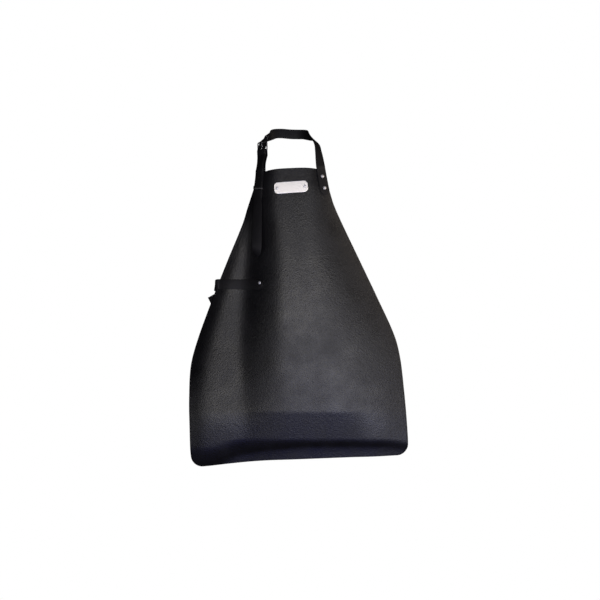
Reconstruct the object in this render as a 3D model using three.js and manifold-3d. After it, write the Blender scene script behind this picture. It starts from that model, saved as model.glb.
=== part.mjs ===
// Leather work apron, hanging by its neck strap. Millimetres, +Z up, the front faces -Y.
// The origin is the middle of the neck strap's inner face, where the strap rests on the neck.
import * as THREE from "three";
import { mergeVertices } from "three/addons/utils/BufferGeometryUtils.js";
import Module from "manifold-3d";

// Clearances
const GAP = 0.35; // between a fastener and what it holds
const LAY = 0.75; // between a strap and the panel that it lies on
const BACK_LAY = 1.6; // the same where a flat strap lies in the panel's hollow back

// Leather
const PANEL_WALL = 2;
const STRAP_WALL = 2.2;
const STRAP_WIDTH = 28;
const NECK_BACK = 109; // neck strap's inner face behind the panel's front ridge
const COLUMNS = 38; // facets across the panel
const STRAP_STEP = 8; // longest facet along a strap
const LOOP_STEP = 3.5; // the same on a strap with a tight loop
const END_FACETS = 4; // facets of a quarter of a rounded strap end

// Panel sections, from the bib's top edge down to the hem. left and right are the cut edges.
// The ridge between ridgeLeft and ridgeRight is flat; rightBack, shelfBack and leftBack are
// how far the right edge, the shelf left of the fold and the curled left edge lie behind it.
// fold goes from 0, a plain roll to the left, to 1, a full fold down to the shelf.
const PANEL_ROWS = table(
  ["z", "left", "shelf", "ridgeLeft", "ridgeRight", "right", "rightBack", "shelfBack", "leftBack", "fold"],
  [-123, -95, -94, -50, 38, 82, 16, 31, 0, 0],
  [-172, -114, -112, -50, 38, 99, 20, 36, 0, 0],
  [-217, -132, -118, -48, 36, 111, 25, 42, 3, 0.4],
  [-261, -148, -120, -43, 34, 128, 31, 46, 5, 0.9],
  [-372, -200, -132, -36, 34, 176, 42, 51, 11, 1],
  [-483, -249.5, -148, -38, 40, 223.5, 47, 49, 22, 1],
  [-595, -295, -159, -36, 50, 268.5, 47, 41, 30, 1],
  [-661, -313.5, -161, -33, 60, 282, 44, 33, 31, 1],
  [-750, -319, -163, -30, 80, 288, 37, 22, 26, 1],
  [-817, -320, -165, -28, 90, 290.5, 30, 14, 20, 1],
  [-884, -321.5, -167, -28, 90, 292, 25, 10, 16, 1],
  [-927, -321, -168, -28, 90, 291, 23, 9, 14, 1],
);
const ROLL_POWER = 1.55; // how late the sides roll back
const FOLD_POWER = 1.75; // how late the fold falls to the shelf
const CURL_POWER = 5; // how late the left margin curls back
const BIB_TOP = -123;
const BIB_LEAVE = 12; // height above the bib's top edge where the straps leave it
const HEM = -931;
const BIB_ARCH = 7.5; // rise of the bib's top edge
const BIB_PEAK = 0.03; // where it is highest, from -1 at the left corner to 1 at the right
const BIB_POWER = 3; // how late it falls to the corners
const HEM_DIP = { left: 13, right: 4 }; // fall of the hem towards its corners
const HEM_FLAT = 0.2; // share of each half before it falls
const TOP_BLEND = 90; // height over which the bib's arch fades
const HEM_BLEND = 120; // height over which the hem's dip fades
const CORNER_RADIUS = 30;
const CORNER_ROWS = 4;
const ROW_STEP = 30; // height of a panel facet

// Bends are softened across the panel, as thick hide takes them: steps across and their weights
const SOFTEN = [[-27, 1], [-18, 3], [-9, 5], [0, 6], [9, 5], [18, 3], [27, 1]];
const SOFTEN_SUM = SOFTEN.reduce((sum, [, weight]) => sum + weight, 0);

// Hem: a crease across the skirt, a steep band below it, and a lip under the band that widens to the right
const CREASE = { z: -795, tilt: -0.045, left: -120, right: 140, fade: 90, slope: 0.14, soft: 20 };
const LIP = { start: 40, reach: 220, fall: 26, power: 1.7, slope: 0.13, round: 9 };
const BAND = { z: -868, tilt: -0.045, height: 19, slope: 0.5, power: 1.5 };

// Rivets: dome and cap radii and heights, and the shank
const RIVET = { head: 4.8, rise: 2.4, shank: 1.6, cap: 4.2, capRise: 1.1 };
const LOW_RIVET = { ...RIVET, head: 4.4, rise: 1.1 };
const PLATE_RIVET = { ...RIVET, head: 4.4, rise: 1.6 };
const RIVET_SIDES = 12;
const HOLE_SIDES = 12;
const HOLE_DEPTH = 16;

// Where the pieces sit on the panel: x across, z up
const NECK_END = { x: 90.5, z: -192 };
const NECK_RIVETS = { neck_rivet_lower: { x: 86.3, z: -173.5 }, neck_rivet_upper: { x: 81.5, z: -141 } };
const BUCKLE_STRAP_END = -201; // height of the buckle strap's two ends
const BUCKLE_RIVETS = { buckle_rivet_lower: { x: -96.8, z: -187 }, buckle_rivet_upper: { x: -90.8, z: -139 } };
const WAIST_RIVET = { x: -104, z: -430.5 };
const PLATE = { x: -5.7, z: -169, width: 94, height: 31, wall: 1, corner: 11, tilt: 0.027, rivets: 77 };
const PLATE_BOW = 1.1; // how far the bib bends away behind the flat plate's ends

// Buckle on the left of the neck, turned with the strap; turn is the way that its face looks,
// in degrees from the front, counted towards the right
const BUCKLE = { x: -82, back: 53, z: -43, turn: -36, lean: 0.1, width: 36, height: 28, bar: 3.4, wall: 3.2 };
const PRONG = { radius: 1.3, ring: 3.9, steps: 18, middleOut: 2.2, bend: 3, slot: 5, slotLength: 17 };
const STRAP_HOLE = { radius: 2.2, reach: 4.2, pitch: 25, spare: 4 };
const KEEPER = { z: -164, height: 9, wall: 1.4, bump: 2.1, spread: 23, inner: 6, corner: 1.2 };

// Neck strap through the buckle, from behind the upper bar to before the lower one: rise above
// the bar named by 1, the upper, 0, the middle, or -1, the lower; depth from 0 behind to 1 before
const THREAD_ROWS = [
  { bar: 1, rise: 5, depth: 0, out: -2, slope: 0 },
  { bar: 1, rise: -1, depth: 0, out: -0.6, slope: 0.2 },
  { bar: 0, rise: -2, depth: 0.5, out: 0, slope: 0.6 },
  { bar: -1, rise: 1, depth: 1, out: 0, slope: 0.2 },
  { bar: -1, rise: -14, depth: 1, out: 0, slope: 0 },
];
const BUCKLE_LEG = 18; // straight stretch of the buckle strap below the lower bar
const CORNER_STEPS = 9; // stations of the buckle strap on the bib's left corner

// Free stretch of the neck strap, from the bib's right corner round the neck to the buckle; lift is
// how much its outer face looks up, as it does where the strap lies on a shoulder
const NECK_ROWS = [
  { x: 75.5, back: 24, z: -66, turn: 46, lift: 0 },
  { x: 72, back: 40, z: -44, turn: 52, lift: 0.35 },
  { x: 61, back: 62, z: -23.5, turn: 85, lift: 1 },
  { x: 51.5, back: 86, z: -11.5, turn: 125, lift: 0.4 },
  { x: 39, back: 103, z: -4, turn: 158, lift: 0 },
  { x: 22, back: NECK_BACK + STRAP_WALL / 2, z: -1.5, turn: 175, lift: 0 },
  { x: 0, back: NECK_BACK + STRAP_WALL / 2, z: 0, turn: 180, lift: 0 },
  { x: -28, back: NECK_BACK + STRAP_WALL / 2, z: 3.5, turn: 184, lift: 0 },
  { x: -48, back: 102.5, z: 1.5, turn: 200, lift: 0.15 },
  { x: -63, back: 87, z: -9.5, turn: 234, lift: 0.7 },
  { x: -76, back: 70, z: -20.5, turn: 272, lift: 0.4 },
];

// Free end below the keeper, hanging clear of the panel; out is how far it hangs before it
const FREE_END_ROWS = [
  { x: -101.5, z: -212, out: 10, turn: 324 },
  { x: -104, z: -250, out: 13, turn: 331 },
  { x: -107, z: -300, out: 18, turn: 342 },
  { x: -109, z: -330, out: 22, turn: 349 },
  { x: -111, z: -354, out: 16, turn: 352 },
];

// Waist strap: a run on the panel's front, a loop round its left edge and a tail behind it
const WAIST_FRONT = { startX: -95, startZ: -432.5, endX: -222, endZ: -427, steps: 10 };
const WAIST_LOOP = { bulge: 7, reach: 5, drop: 8, steps: 6 };
const WAIST_ROWS = [
  { x: -216, z: -441, behind: 6, turn: 150 },
  { x: -206, z: -446, behind: 6.5, turn: 168 },
  { x: -201, z: -450, behind: 12, turn: 233 },
  { x: -207, z: -454, behind: 18, turn: 305 },
  { x: -224, z: -463, behind: 17, turn: 318 },
  { x: -241, z: -471, behind: 14, turn: 322 },
  { x: -253, z: -477, behind: 11, turn: 322 },
];

// Colours and finish
const BLACK_LEATHER = { color: 0x2b2a2c, roughness: 0.55, metalness: 0 };
const BLACK_STRAP = { color: 0x232224, roughness: 0.5, metalness: 0 };
const BRIGHT_METAL = { color: 0xd0d0d2, roughness: 0.25, metalness: 1 };
const PLATE_METAL = { color: 0xd8d5d5, roughness: 0.35, metalness: 1 };

const wasm = await Module();
wasm.setup();

// Numbers and tables

// Rows with named columns, from a list of names and a list of values for each row.
function table(columns, ...rows) {
  return rows.map((values) => Object.fromEntries(columns.map((column, k) => [column, values[k]])));
}

function mix(a, b, t) {
  return a + (b - a) * t;
}

function smooth(t) {
  const s = Math.min(Math.max(t, 0), 1);
  return s * s * (3 - 2 * s);
}

// Cubic through four neighbouring values at uneven places; t runs from 0 at b to 1 at c.
function cubic(places, values, t) {
  const [p, q, r, s] = places;
  const [a, b, c, d] = values;
  const span = r - q;
  const slopeIn = q === p ? (c - b) / span : (c - a) / (r - p);
  const slopeOut = s === r ? (c - b) / span : (d - b) / (s - q);
  const ease = t * t * (3 - 2 * t);
  return mix(b, c, ease) + span * t * (1 - t) * ((1 - t) * slopeIn - t * slopeOut);
}

// Value of every named column of a table at one place along it.
function rowAt(rows, places, place) {
  const last = rows.length - 1;
  const inside = Math.min(Math.max(place, places[0]), places[last]);
  let k = 0;
  while (k < last - 1 && inside > places[k + 1]) k += 1;
  const near = [Math.max(k - 1, 0), k, k + 1, Math.min(k + 2, last)];
  const t = (inside - places[k]) / (places[k + 1] - places[k]);
  const row = {};
  for (const column of Object.keys(rows[0])) {
    row[column] = cubic(near.map((i) => places[i]), near.map((i) => rows[i][column]), t);
  }
  return row;
}

// Panel surface

const panelDrops = PANEL_ROWS.map((row) => -row.z);

function panelRow(z) {
  return rowAt(PANEL_ROWS, panelDrops, -z);
}

// Fall of the hem's edge at a place from -1 at the left corner to 1 at the right.
function hemDrop(place) {
  return HEM_DIP.left * smooth(-place - HEM_FLAT) + HEM_DIP.right * smooth(place - HEM_FLAT);
}

// How far the crease, the steep band and the lip of the hem set the panel back.
function hemBack(x, z) {
  const top = BAND.z + BAND.tilt * x;
  const height = BAND.height + LIP.fall * Math.max((LIP.start - x) / LIP.reach, 0) ** LIP.power;
  const lipTop = top - height;
  const crease = CREASE.z + CREASE.tilt * x;
  const outside = Math.max(CREASE.left - x, x - CREASE.right, 0);
  const crisp = 1 - smooth(outside / CREASE.fade);
  const fall = Math.max(crease - Math.max(z, lipTop), 0);
  const lean = CREASE.slope * mix(fall ** 2 / (fall + CREASE.soft), fall, crisp);
  const down = Math.min(Math.max((top - z) / height, 0), 1);
  const band = (BAND.slope / BAND.power) * height * down ** BAND.power;
  const under = Math.max(lipTop - z, 0);
  const turn = (BAND.slope - LIP.slope) * LIP.round * (1 - Math.exp(-under / LIP.round));
  return lean + band + turn + LIP.slope * under;
}

// Distance of the panel's middle surface behind its front ridge, before the bends are softened.
function sharpBack(row, x, z) {
  const hem = hemBack(x, z);
  if (x >= row.ridgeLeft) {
    const roll = Math.max(x - row.ridgeRight, 0) / (row.right - row.ridgeRight);
    return row.rightBack * roll ** ROLL_POWER + hem;
  }
  const across = (row.ridgeLeft - x) / (row.ridgeLeft - row.shelf);
  const drop = mix(across ** ROLL_POWER, Math.min(across, 1) ** FOLD_POWER, row.fold);
  const curl = Math.min(Math.max((row.shelf - x) / (row.shelf - row.left), 0), 1);
  return row.shelfBack * drop + row.leftBack * curl ** CURL_POWER + hem;
}

function panelBack(x, z) {
  const row = panelRow(z);
  return SOFTEN.reduce((sum, [step, weight]) => sum + weight * sharpBack(row, x + step, z), 0) / SOFTEN_SUM;
}

function panelPoint(x, z) {
  return new THREE.Vector3(x, panelBack(x, z) - NECK_BACK, z);
}

// Direction that the panel's front face looks at one point.
function panelNormal(x, z) {
  const h = 0.5;
  const slopeX = (panelBack(x + h, z) - panelBack(x - h, z)) / (2 * h);
  const slopeZ = (panelBack(x, z + h) - panelBack(x, z - h)) / (2 * h);
  return new THREE.Vector3(slopeX, -1, slopeZ).normalize();
}

function panelOffset(x, z, out) {
  return panelPoint(x, z).addScaledVector(panelNormal(x, z), out);
}

// Solids

function toSolid(geometry) {
  const bare = geometry.clone();
  bare.deleteAttribute("normal");
  bare.deleteAttribute("uv");
  const merged = mergeVertices(bare);
  const triVerts = new Uint32Array(merged.index.array);
  const vertProperties = new Float32Array(merged.attributes.position.array);
  return new wasm.Manifold(new wasm.Mesh({ numProp: 3, vertProperties, triVerts }));
}

function toGeometry(solid) {
  const mesh = solid.getMesh();
  const geometry = new THREE.BufferGeometry();
  geometry.setAttribute("position", new THREE.BufferAttribute(mesh.vertProperties, 3));
  geometry.setIndex(new THREE.BufferAttribute(mesh.triVerts, 1));
  return geometry;
}

function cut(geometry, tools) {
  return toGeometry(tools.reduce((solid, tool) => solid.subtract(toSolid(tool)), toSolid(geometry)));
}

// Closed wall between a front and a back grid of points with equal rows and columns.
function wallGeometry(front, back) {
  const rows = front.length;
  const columns = front[0].length;
  const points = [...front.flat(), ...back.flat()];
  const at = (side, i, j) => side * rows * columns + i * columns + j;
  const faces = [];
  const quad = (a, b, c, d) => faces.push(a, b, c, a, c, d);
  for (let i = 0; i < rows - 1; i += 1) {
    for (let j = 0; j < columns - 1; j += 1) {
      quad(at(0, i, j), at(0, i, j + 1), at(0, i + 1, j + 1), at(0, i + 1, j));
      quad(at(1, i, j), at(1, i + 1, j), at(1, i + 1, j + 1), at(1, i, j + 1));
    }
    quad(at(0, i, 0), at(0, i + 1, 0), at(1, i + 1, 0), at(1, i, 0));
    quad(at(0, i, columns - 1), at(1, i, columns - 1), at(1, i + 1, columns - 1), at(0, i + 1, columns - 1));
  }
  for (let j = 0; j < columns - 1; j += 1) {
    quad(at(0, 0, j), at(1, 0, j), at(1, 0, j + 1), at(0, 0, j + 1));
    quad(at(0, rows - 1, j), at(0, rows - 1, j + 1), at(1, rows - 1, j + 1), at(1, rows - 1, j));
  }
  const geometry = new THREE.BufferGeometry().setFromPoints(points);
  geometry.setIndex(faces);
  return geometry;
}

function named(name, geometry, finish) {
  const mesh = new THREE.Mesh(geometry, new THREE.MeshStandardMaterial(finish));
  mesh.name = name;
  return mesh;
}

// Turns a shape made round +Z, standing on a point of the panel, to that point and direction.
function standOn(geometry, point, direction, up) {
  const across = new THREE.Vector3().crossVectors(up, direction).normalize();
  const along = new THREE.Vector3().crossVectors(direction, across);
  const place = new THREE.Matrix4().makeBasis(across, along, direction).setPosition(point);
  return geometry.applyMatrix4(place);
}

const UP = new THREE.Vector3(0, 0, 1);

// Straps

function facing(turn) {
  const angle = THREE.MathUtils.degToRad(turn);
  return new THREE.Vector3(Math.sin(angle), -Math.cos(angle), 0);
}

// A station is a point on a strap's middle surface and the way that its outer face looks.
function station(point, normal) {
  return { x: point.x, y: point.y, z: point.z, nx: normal.x, ny: normal.y, nz: normal.z };
}

function freeStation(row) {
  const normal = facing(row.turn).addScaledVector(UP, row.lift).normalize();
  return station(new THREE.Vector3(row.x, row.back - NECK_BACK, row.z), normal);
}

function laidStation(x, z, out) {
  return station(panelOffset(x, z, out), panelNormal(x, z));
}

// Stations that a strap runs through, with the distance of each along it.
class StrapPath {
  constructor(stations) {
    this.stations = stations;
    this.places = [0];
    for (let i = 1; i < stations.length; i += 1) {
      const { x, y, z } = stations[i - 1];
      const step = Math.hypot(stations[i].x - x, stations[i].y - y, stations[i].z - z);
      this.places.push(this.places[i - 1] + step);
    }
    this.length = this.places.at(-1);
  }

  point(place) {
    const row = rowAt(this.stations, this.places, place);
    return new THREE.Vector3(row.x, row.y, row.z);
  }

  // Point, direction along, direction across and outer face at a distance along the strap.
  frame(place) {
    const row = rowAt(this.stations, this.places, place);
    const h = 0.5;
    const ahead = this.point(Math.min(place + h, this.length));
    const along = ahead.sub(this.point(Math.max(place - h, 0))).normalize();
    const across = new THREE.Vector3(row.nx, row.ny, row.nz).cross(along).negate().normalize();
    const normal = new THREE.Vector3().crossVectors(across, along);
    return { point: new THREE.Vector3(row.x, row.y, row.z), along, across, normal };
  }
}

// Places along a strap and its half width there, with an end rounded or cut square.
function strapSections(length, step, roundStart, roundEnd) {
  const half = STRAP_WIDTH / 2;
  const quarter = Array.from({ length: END_FACETS }, (_, k) => ((k + 0.4) / END_FACETS) * (Math.PI / 2));
  const tip = quarter.map((angle) => ({ place: half * (1 - Math.cos(angle)), half: half * Math.sin(angle) }));
  const start = roundStart ? tip : [];
  const end = roundEnd ? tip.map(({ place, half: h }) => ({ place: length - place, half: h })).reverse() : [];
  const from = roundStart ? half : 0;
  const to = roundEnd ? length - half : length;
  const count = Math.ceil((to - from) / step);
  const body = Array.from({ length: count + 1 }, (_, k) => ({ place: mix(from, to, k / count), half }));
  return [...start, ...body, ...end];
}

function strapGeometry(path, step, roundStart, roundEnd) {
  const front = [];
  const back = [];
  for (const { place, half } of strapSections(path.length, step, roundStart, roundEnd)) {
    const { point, across, normal } = path.frame(place);
    const edges = [-half, half].map((side) => point.clone().addScaledVector(across, side));
    front.push(edges.map((edge) => edge.clone().addScaledVector(normal, STRAP_WALL / 2)));
    back.push(edges.map((edge) => edge.clone().addScaledVector(normal, -STRAP_WALL / 2)));
  }
  return wallGeometry(front, back);
}

// Tool for a rivet's round hole, and the same put through the panel at one point.
function holeTool() {
  const radius = RIVET.shank + GAP;
  return new THREE.CylinderGeometry(radius, radius, HOLE_DEPTH, HOLE_SIDES).rotateX(Math.PI / 2);
}

function panelHole({ x, z }) {
  return standOn(holeTool(), panelPoint(x, z), panelNormal(x, z), UP);
}

// Panel

// Heights of the panel's rows: a few close ones round the lower corners, then even ones.
function panelHeights() {
  const heights = [];
  for (let k = 0; k < CORNER_ROWS; k += 1) {
    heights.push(HEM + CORNER_RADIUS * (1 - Math.cos((k / CORNER_ROWS) * (Math.PI / 2))));
  }
  const from = HEM + CORNER_RADIUS;
  const count = Math.ceil((BIB_TOP - from) / ROW_STEP);
  for (let k = 0; k <= count; k += 1) heights.push(mix(from, BIB_TOP, k / count));
  return heights;
}

function cornerInset(z) {
  const above = Math.min((z - HEM) / CORNER_RADIUS, 1);
  return CORNER_RADIUS * (1 - Math.sqrt(1 - (1 - above) ** 2));
}

function panelGeometry() {
  const front = [];
  const back = [];
  for (const height of panelHeights()) {
    const row = panelRow(height);
    const left = row.left + cornerInset(height);
    const right = row.right - cornerInset(height);
    const nearTop = smooth((height - BIB_TOP + TOP_BLEND) / TOP_BLEND);
    const nearHem = smooth((HEM + HEM_BLEND - height) / HEM_BLEND);
    const frontRow = [];
    const backRow = [];
    for (let j = 0; j <= COLUMNS; j += 1) {
      const x = mix(left, right, j / COLUMNS);
      const middle = (2 * x - left - right) / (right - left);
      const arch = BIB_ARCH * (1 - Math.abs(middle - BIB_PEAK) ** BIB_POWER);
      const z = height + nearTop * arch - nearHem * hemDrop(middle);
      frontRow.push(panelOffset(x, z, PANEL_WALL / 2));
      backRow.push(panelOffset(x, z, -PANEL_WALL / 2));
    }
    front.push(frontRow);
    back.push(backRow);
  }
  return wallGeometry(front, back);
}

// Buckle frame of reference: middle, face and up

const buckleFace = facing(BUCKLE.turn);
const buckleUp = new THREE.Vector3(BUCKLE.lean, BUCKLE.lean, 1).projectOnPlane(buckleFace).normalize();
const buckleMiddle = new THREE.Vector3(BUCKLE.x, BUCKLE.back - NECK_BACK, BUCKLE.z);
const barRise = (BUCKLE.height - BUCKLE.bar) / 2; // bars above and below the middle
const loopRadius = Math.hypot(BUCKLE.bar, BUCKLE.wall) / 2 + 2 * GAP + STRAP_WALL / 2;

function bucklePoint(rise, out) {
  return buckleMiddle.clone().addScaledVector(buckleUp, rise).addScaledVector(buckleFace, out);
}

function buckleStation(rise, out, slope) {
  return station(bucklePoint(rise, out), buckleFace.clone().addScaledVector(buckleUp, slope).normalize());
}

// Offsets from the panel's middle surface to the layers at the left bib corner
const laidOut = PANEL_WALL / 2 + LAY + STRAP_WALL / 2;
const backOut = PANEL_WALL / 2 + BACK_LAY + STRAP_WALL / 2;
const headSeat = laidOut + STRAP_WALL / 2 + GAP;
const freeOut = headSeat + LOW_RIVET.rise + GAP + STRAP_WALL / 2;

const aboveBib = BIB_TOP + BIB_LEAVE;

function keeperBump(z) {
  return KEEPER.bump * smooth(1 - Math.abs(z - KEEPER.z) / KEEPER.spread);
}

// Point of the left bib corner's strap line at a height
function cornerX(z) {
  const { buckle_rivet_lower: low, buckle_rivet_upper: high } = BUCKLE_RIVETS;
  return mix(low.x, high.x, (z - low.z) / (high.z - low.z));
}

// Neck strap

function neckStations() {
  const stations = [];
  const { neck_rivet_lower: low, neck_rivet_upper: high } = NECK_RIVETS;
  for (const z of [NECK_END.z, low.z, mix(low.z, high.z, 0.5), high.z, BIB_TOP]) {
    const x = z < low.z ? NECK_END.x : mix(low.x, high.x, (z - low.z) / (high.z - low.z));
    stations.push(laidStation(x, z, z === BIB_TOP ? laidOut + LAY : laidOut));
  }
  const leave = mix(low.x, high.x, (aboveBib - low.z) / (high.z - low.z));
  stations.push(laidStation(leave, aboveBib, laidOut + 2 * LAY));
  stations.push(...NECK_ROWS.map(freeStation));
  const behind = -(BUCKLE.wall / 2 + GAP + STRAP_WALL / 2);
  const before = loopRadius + STRAP_WALL + 2 * GAP;
  for (const { bar, rise, depth, out, slope } of THREAD_ROWS) {
    stations.push(buckleStation(bar * barRise + rise, mix(behind, before, depth) + out, slope));
  }
  const { buckle_rivet_lower: lowest, buckle_rivet_upper: highest } = BUCKLE_RIVETS;
  stations.push(laidStation(cornerX(aboveBib), aboveBib, freeOut + LAY));
  for (const z of [BIB_TOP - STRAP_STEP, highest.z, KEEPER.z, lowest.z]) {
    stations.push(laidStation(cornerX(z), z, freeOut + keeperBump(z) / 3));
  }
  for (const { x, z, out, turn } of FREE_END_ROWS) {
    stations.push(station(panelPoint(x, z).add(new THREE.Vector3(0, -out, 0)), facing(turn)));
  }
  return stations;
}

// Punched holes on the strap's middle line, from the prong's own hole on.
function strapHoles(path, prongPlace) {
  const tools = [];
  for (let k = 0; k <= STRAP_HOLE.spare; k += 1) {
    const { point, along, normal } = path.frame(prongPlace + k * STRAP_HOLE.pitch);
    const reach = k === 0 ? STRAP_HOLE.reach : 0;
    const outline = new THREE.Shape();
    outline.absarc(0, reach, STRAP_HOLE.radius, 0, Math.PI);
    outline.absarc(0, -reach, STRAP_HOLE.radius, Math.PI, 2 * Math.PI);
    const depth = 3 * STRAP_WALL;
    const tool = new THREE.ExtrudeGeometry(outline, { depth, bevelEnabled: false, curveSegments: 3 });
    tools.push(standOn(tool.translate(0, 0, -depth / 2), point, normal, along));
  }
  return tools;
}

// Distance along the strap that passes nearest to a point.
function nearestPlace(path, target, from, to) {
  let best = from;
  for (let place = from; place <= to; place += 0.5) {
    if (path.point(place).distanceTo(target) < path.point(best).distanceTo(target)) best = place;
  }
  return best;
}

// Buckle strap: from the panel's front up round the lower bar and down the panel's back

function buckleStrapStations() {
  const stations = [];
  const rise = BIB_TOP - LAY;
  for (let k = 0; k <= CORNER_STEPS; k += 1) {
    const z = mix(BUCKLE_STRAP_END, rise, k / CORNER_STEPS);
    stations.push(laidStation(cornerX(z), z, laidOut + keeperBump(z)));
  }
  stations.push(laidStation(cornerX(aboveBib), aboveBib, laidOut + LAY));
  stations.push(buckleStation(-barRise - BUCKLE_LEG, loopRadius, 0));
  for (const angle of [0, 45, 90, 135, 180]) {
    const turn = THREE.MathUtils.degToRad(angle);
    const point = bucklePoint(-barRise + loopRadius * Math.sin(turn), loopRadius * Math.cos(turn));
    const out = buckleFace.clone().multiplyScalar(Math.cos(turn)).addScaledVector(buckleUp, Math.sin(turn));
    stations.push(station(point, out));
  }
  const backOf = (s) => ({ ...s, nx: -s.nx, ny: -s.ny, nz: -s.nz });
  stations.push(backOf(buckleStation(-barRise - BUCKLE_LEG, -loopRadius, 0)));
  stations.push(backOf(laidStation(cornerX(aboveBib), aboveBib, -backOut)));
  for (let k = CORNER_STEPS; k >= 0; k -= 3) {
    const z = mix(BUCKLE_STRAP_END, rise, k / CORNER_STEPS);
    stations.push(backOf(laidStation(cornerX(z), z, -backOut)));
  }
  return stations;
}

function prongSlot() {
  const tool = new THREE.BoxGeometry(PRONG.slot, PRONG.slotLength, 6 * STRAP_WALL);
  return standOn(tool, bucklePoint(-barRise + PRONG.slotLength / 4, 0), buckleFace, buckleUp);
}

// Buckle metal

function roundedRectangle(width, height, radius) {
  const x = width / 2 - radius;
  const y = height / 2 - radius;
  const shape = new THREE.Shape();
  shape.absarc(x, y, radius, 0, Math.PI / 2);
  shape.absarc(-x, y, radius, Math.PI / 2, Math.PI);
  shape.absarc(-x, -y, radius, Math.PI, 1.5 * Math.PI);
  shape.absarc(x, -y, radius, 1.5 * Math.PI, 2 * Math.PI);
  return shape;
}

function ringGeometry(width, height, radius, wall, depth, bevel) {
  const shape = roundedRectangle(width - 2 * bevel, height - 2 * bevel, radius);
  const inner = roundedRectangle(width - 2 * wall + 2 * bevel, height - 2 * wall + 2 * bevel, radius / 2);
  shape.holes.push(new THREE.Path(inner.getPoints(2).reverse()));
  const settings = { depth: depth - 2 * bevel, curveSegments: 2, bevelEnabled: bevel > 0 };
  Object.assign(settings, { bevelSize: bevel, bevelThickness: bevel, bevelSegments: 1 });
  return new THREE.ExtrudeGeometry(shape, settings).translate(0, 0, bevel - depth / 2);
}

function buckleFrameGeometry() {
  const ring = ringGeometry(BUCKLE.width, BUCKLE.height, 4, BUCKLE.bar, BUCKLE.wall, 0.5);
  return standOn(ring, buckleMiddle, buckleFace, buckleUp);
}

// A round bar along a line of points
function barAlong(points, radius, steps) {
  const section = new THREE.Shape();
  section.absarc(0, 0, radius, 0, 2 * Math.PI);
  const extrudePath = new THREE.CatmullRomCurve3(points);
  const settings = { steps, curveSegments: 4, bevelEnabled: false, extrudePath };
  return new THREE.ExtrudeGeometry(section, settings);
}

// The prong hooks round the lower bar and rests on the upper bar's face.
function prongGeometry() {
  const { radius, ring, steps, middleOut, bend } = PRONG;
  const points = [];
  for (const angle of [-60, -120, -180, -240, -300]) {
    const turn = THREE.MathUtils.degToRad(angle);
    points.push(bucklePoint(-barRise + ring * Math.sin(turn), ring * Math.cos(turn)));
  }
  const onBar = BUCKLE.wall / 2 + GAP + radius;
  points.push(bucklePoint(0, middleOut));
  points.push(bucklePoint(barRise - bend, onBar));
  points.push(bucklePoint(barRise + BUCKLE.bar / 2, onBar));
  return barAlong(points, radius, steps);
}

function keeperGeometry() {
  const { z, height, wall, inner, corner } = KEEPER;
  const x = cornerX(z);
  const width = STRAP_WIDTH + 2 * GAP + 2 * wall;
  const ring = ringGeometry(width, inner + 2 * wall, corner, wall, height, 0);
  const along = panelPoint(cornerX(z + 1), z + 1).sub(panelPoint(cornerX(z - 1), z - 1)).normalize();
  const out = PANEL_WALL / 2 + LAY + wall + inner / 2;
  return standOn(ring, panelOffset(x, z, out), along, panelNormal(x, z));
}

// Rivets, plate and waist strap

// Rivet round +Z: a dome whose foot is at seat, a shank and a cap behind at back.
function rivetGeometry({ head, rise, shank, cap, capRise }, seat, back) {
  const profile = [[0, back - capRise], [cap * 0.75, back - capRise], [cap, back - capRise * 0.4]];
  profile.push([cap, back], [shank, back], [shank, seat], [head, seat], [head, seat + rise * 0.25]);
  for (const angle of [30, 60]) {
    const turn = THREE.MathUtils.degToRad(angle);
    profile.push([head * Math.cos(turn), seat + rise * (0.25 + 0.75 * Math.sin(turn))]);
  }
  profile.push([0, seat + rise]);
  const points = profile.map(([radius, place]) => new THREE.Vector2(radius, place));
  return new THREE.LatheGeometry(points, RIVET_SIDES).rotateX(Math.PI / 2);
}

function rivetAt({ x, z }, size, seat, back) {
  return standOn(rivetGeometry(size, seat, back), panelPoint(x, z), panelNormal(x, z), UP);
}

const plateNormal = panelNormal(PLATE.x, PLATE.z);
const plateOut = PANEL_WALL / 2 + LAY + PLATE.wall / 2;

// A shape made flat round the plate's middle, at some distance out, put in its place on the bib.
function onPlate(geometry, out) {
  return standOn(geometry.rotateZ(PLATE.tilt), panelOffset(PLATE.x, PLATE.z, out), plateNormal, UP);
}

// The plate's two rivets stand square on it, at its left and right.
function atPlateRivets(makeGeometry) {
  return [-1, 1].map((side) => onPlate(makeGeometry().translate((side * PLATE.rivets) / 2, 0, 0), 0));
}

function plateGeometry() {
  const shape = roundedRectangle(PLATE.width, PLATE.height, PLATE.corner);
  const settings = { depth: PLATE.wall, bevelEnabled: false, curveSegments: 5 };
  const plate = new THREE.ExtrudeGeometry(shape, settings);
  return onPlate(plate.translate(0, 0, -PLATE.wall / 2), plateOut);
}

function waistStations() {
  const { startX, startZ, endX, endZ, steps } = WAIST_FRONT;
  const stations = [];
  for (let k = 0; k <= steps; k += 1) {
    stations.push(laidStation(mix(startX, endX, k / steps), mix(startZ, endZ, k / steps), laidOut));
  }
  const { bulge, reach, drop } = WAIST_LOOP;
  for (let k = 0; k <= WAIST_LOOP.steps; k += 1) {
    const round = k / WAIST_LOOP.steps;
    const z = endZ - drop * round;
    const edge = panelRow(z).left;
    const front = panelNormal(edge, z);
    const outward = new THREE.Vector3().crossVectors(front, UP).normalize();
    const turn = Math.PI * round;
    const normal = front.multiplyScalar(Math.cos(turn)).addScaledVector(outward, Math.sin(turn));
    const point = panelPoint(edge, z).addScaledVector(normal, reach);
    stations.push(station(point.addScaledVector(outward, (bulge - reach) * Math.sin(turn)), normal));
  }
  for (const { x, z, behind, turn } of WAIST_ROWS) {
    stations.push(station(panelPoint(x, z).add(new THREE.Vector3(0, behind, 0)), facing(turn)));
  }
  return stations;
}

// Assembly

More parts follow.
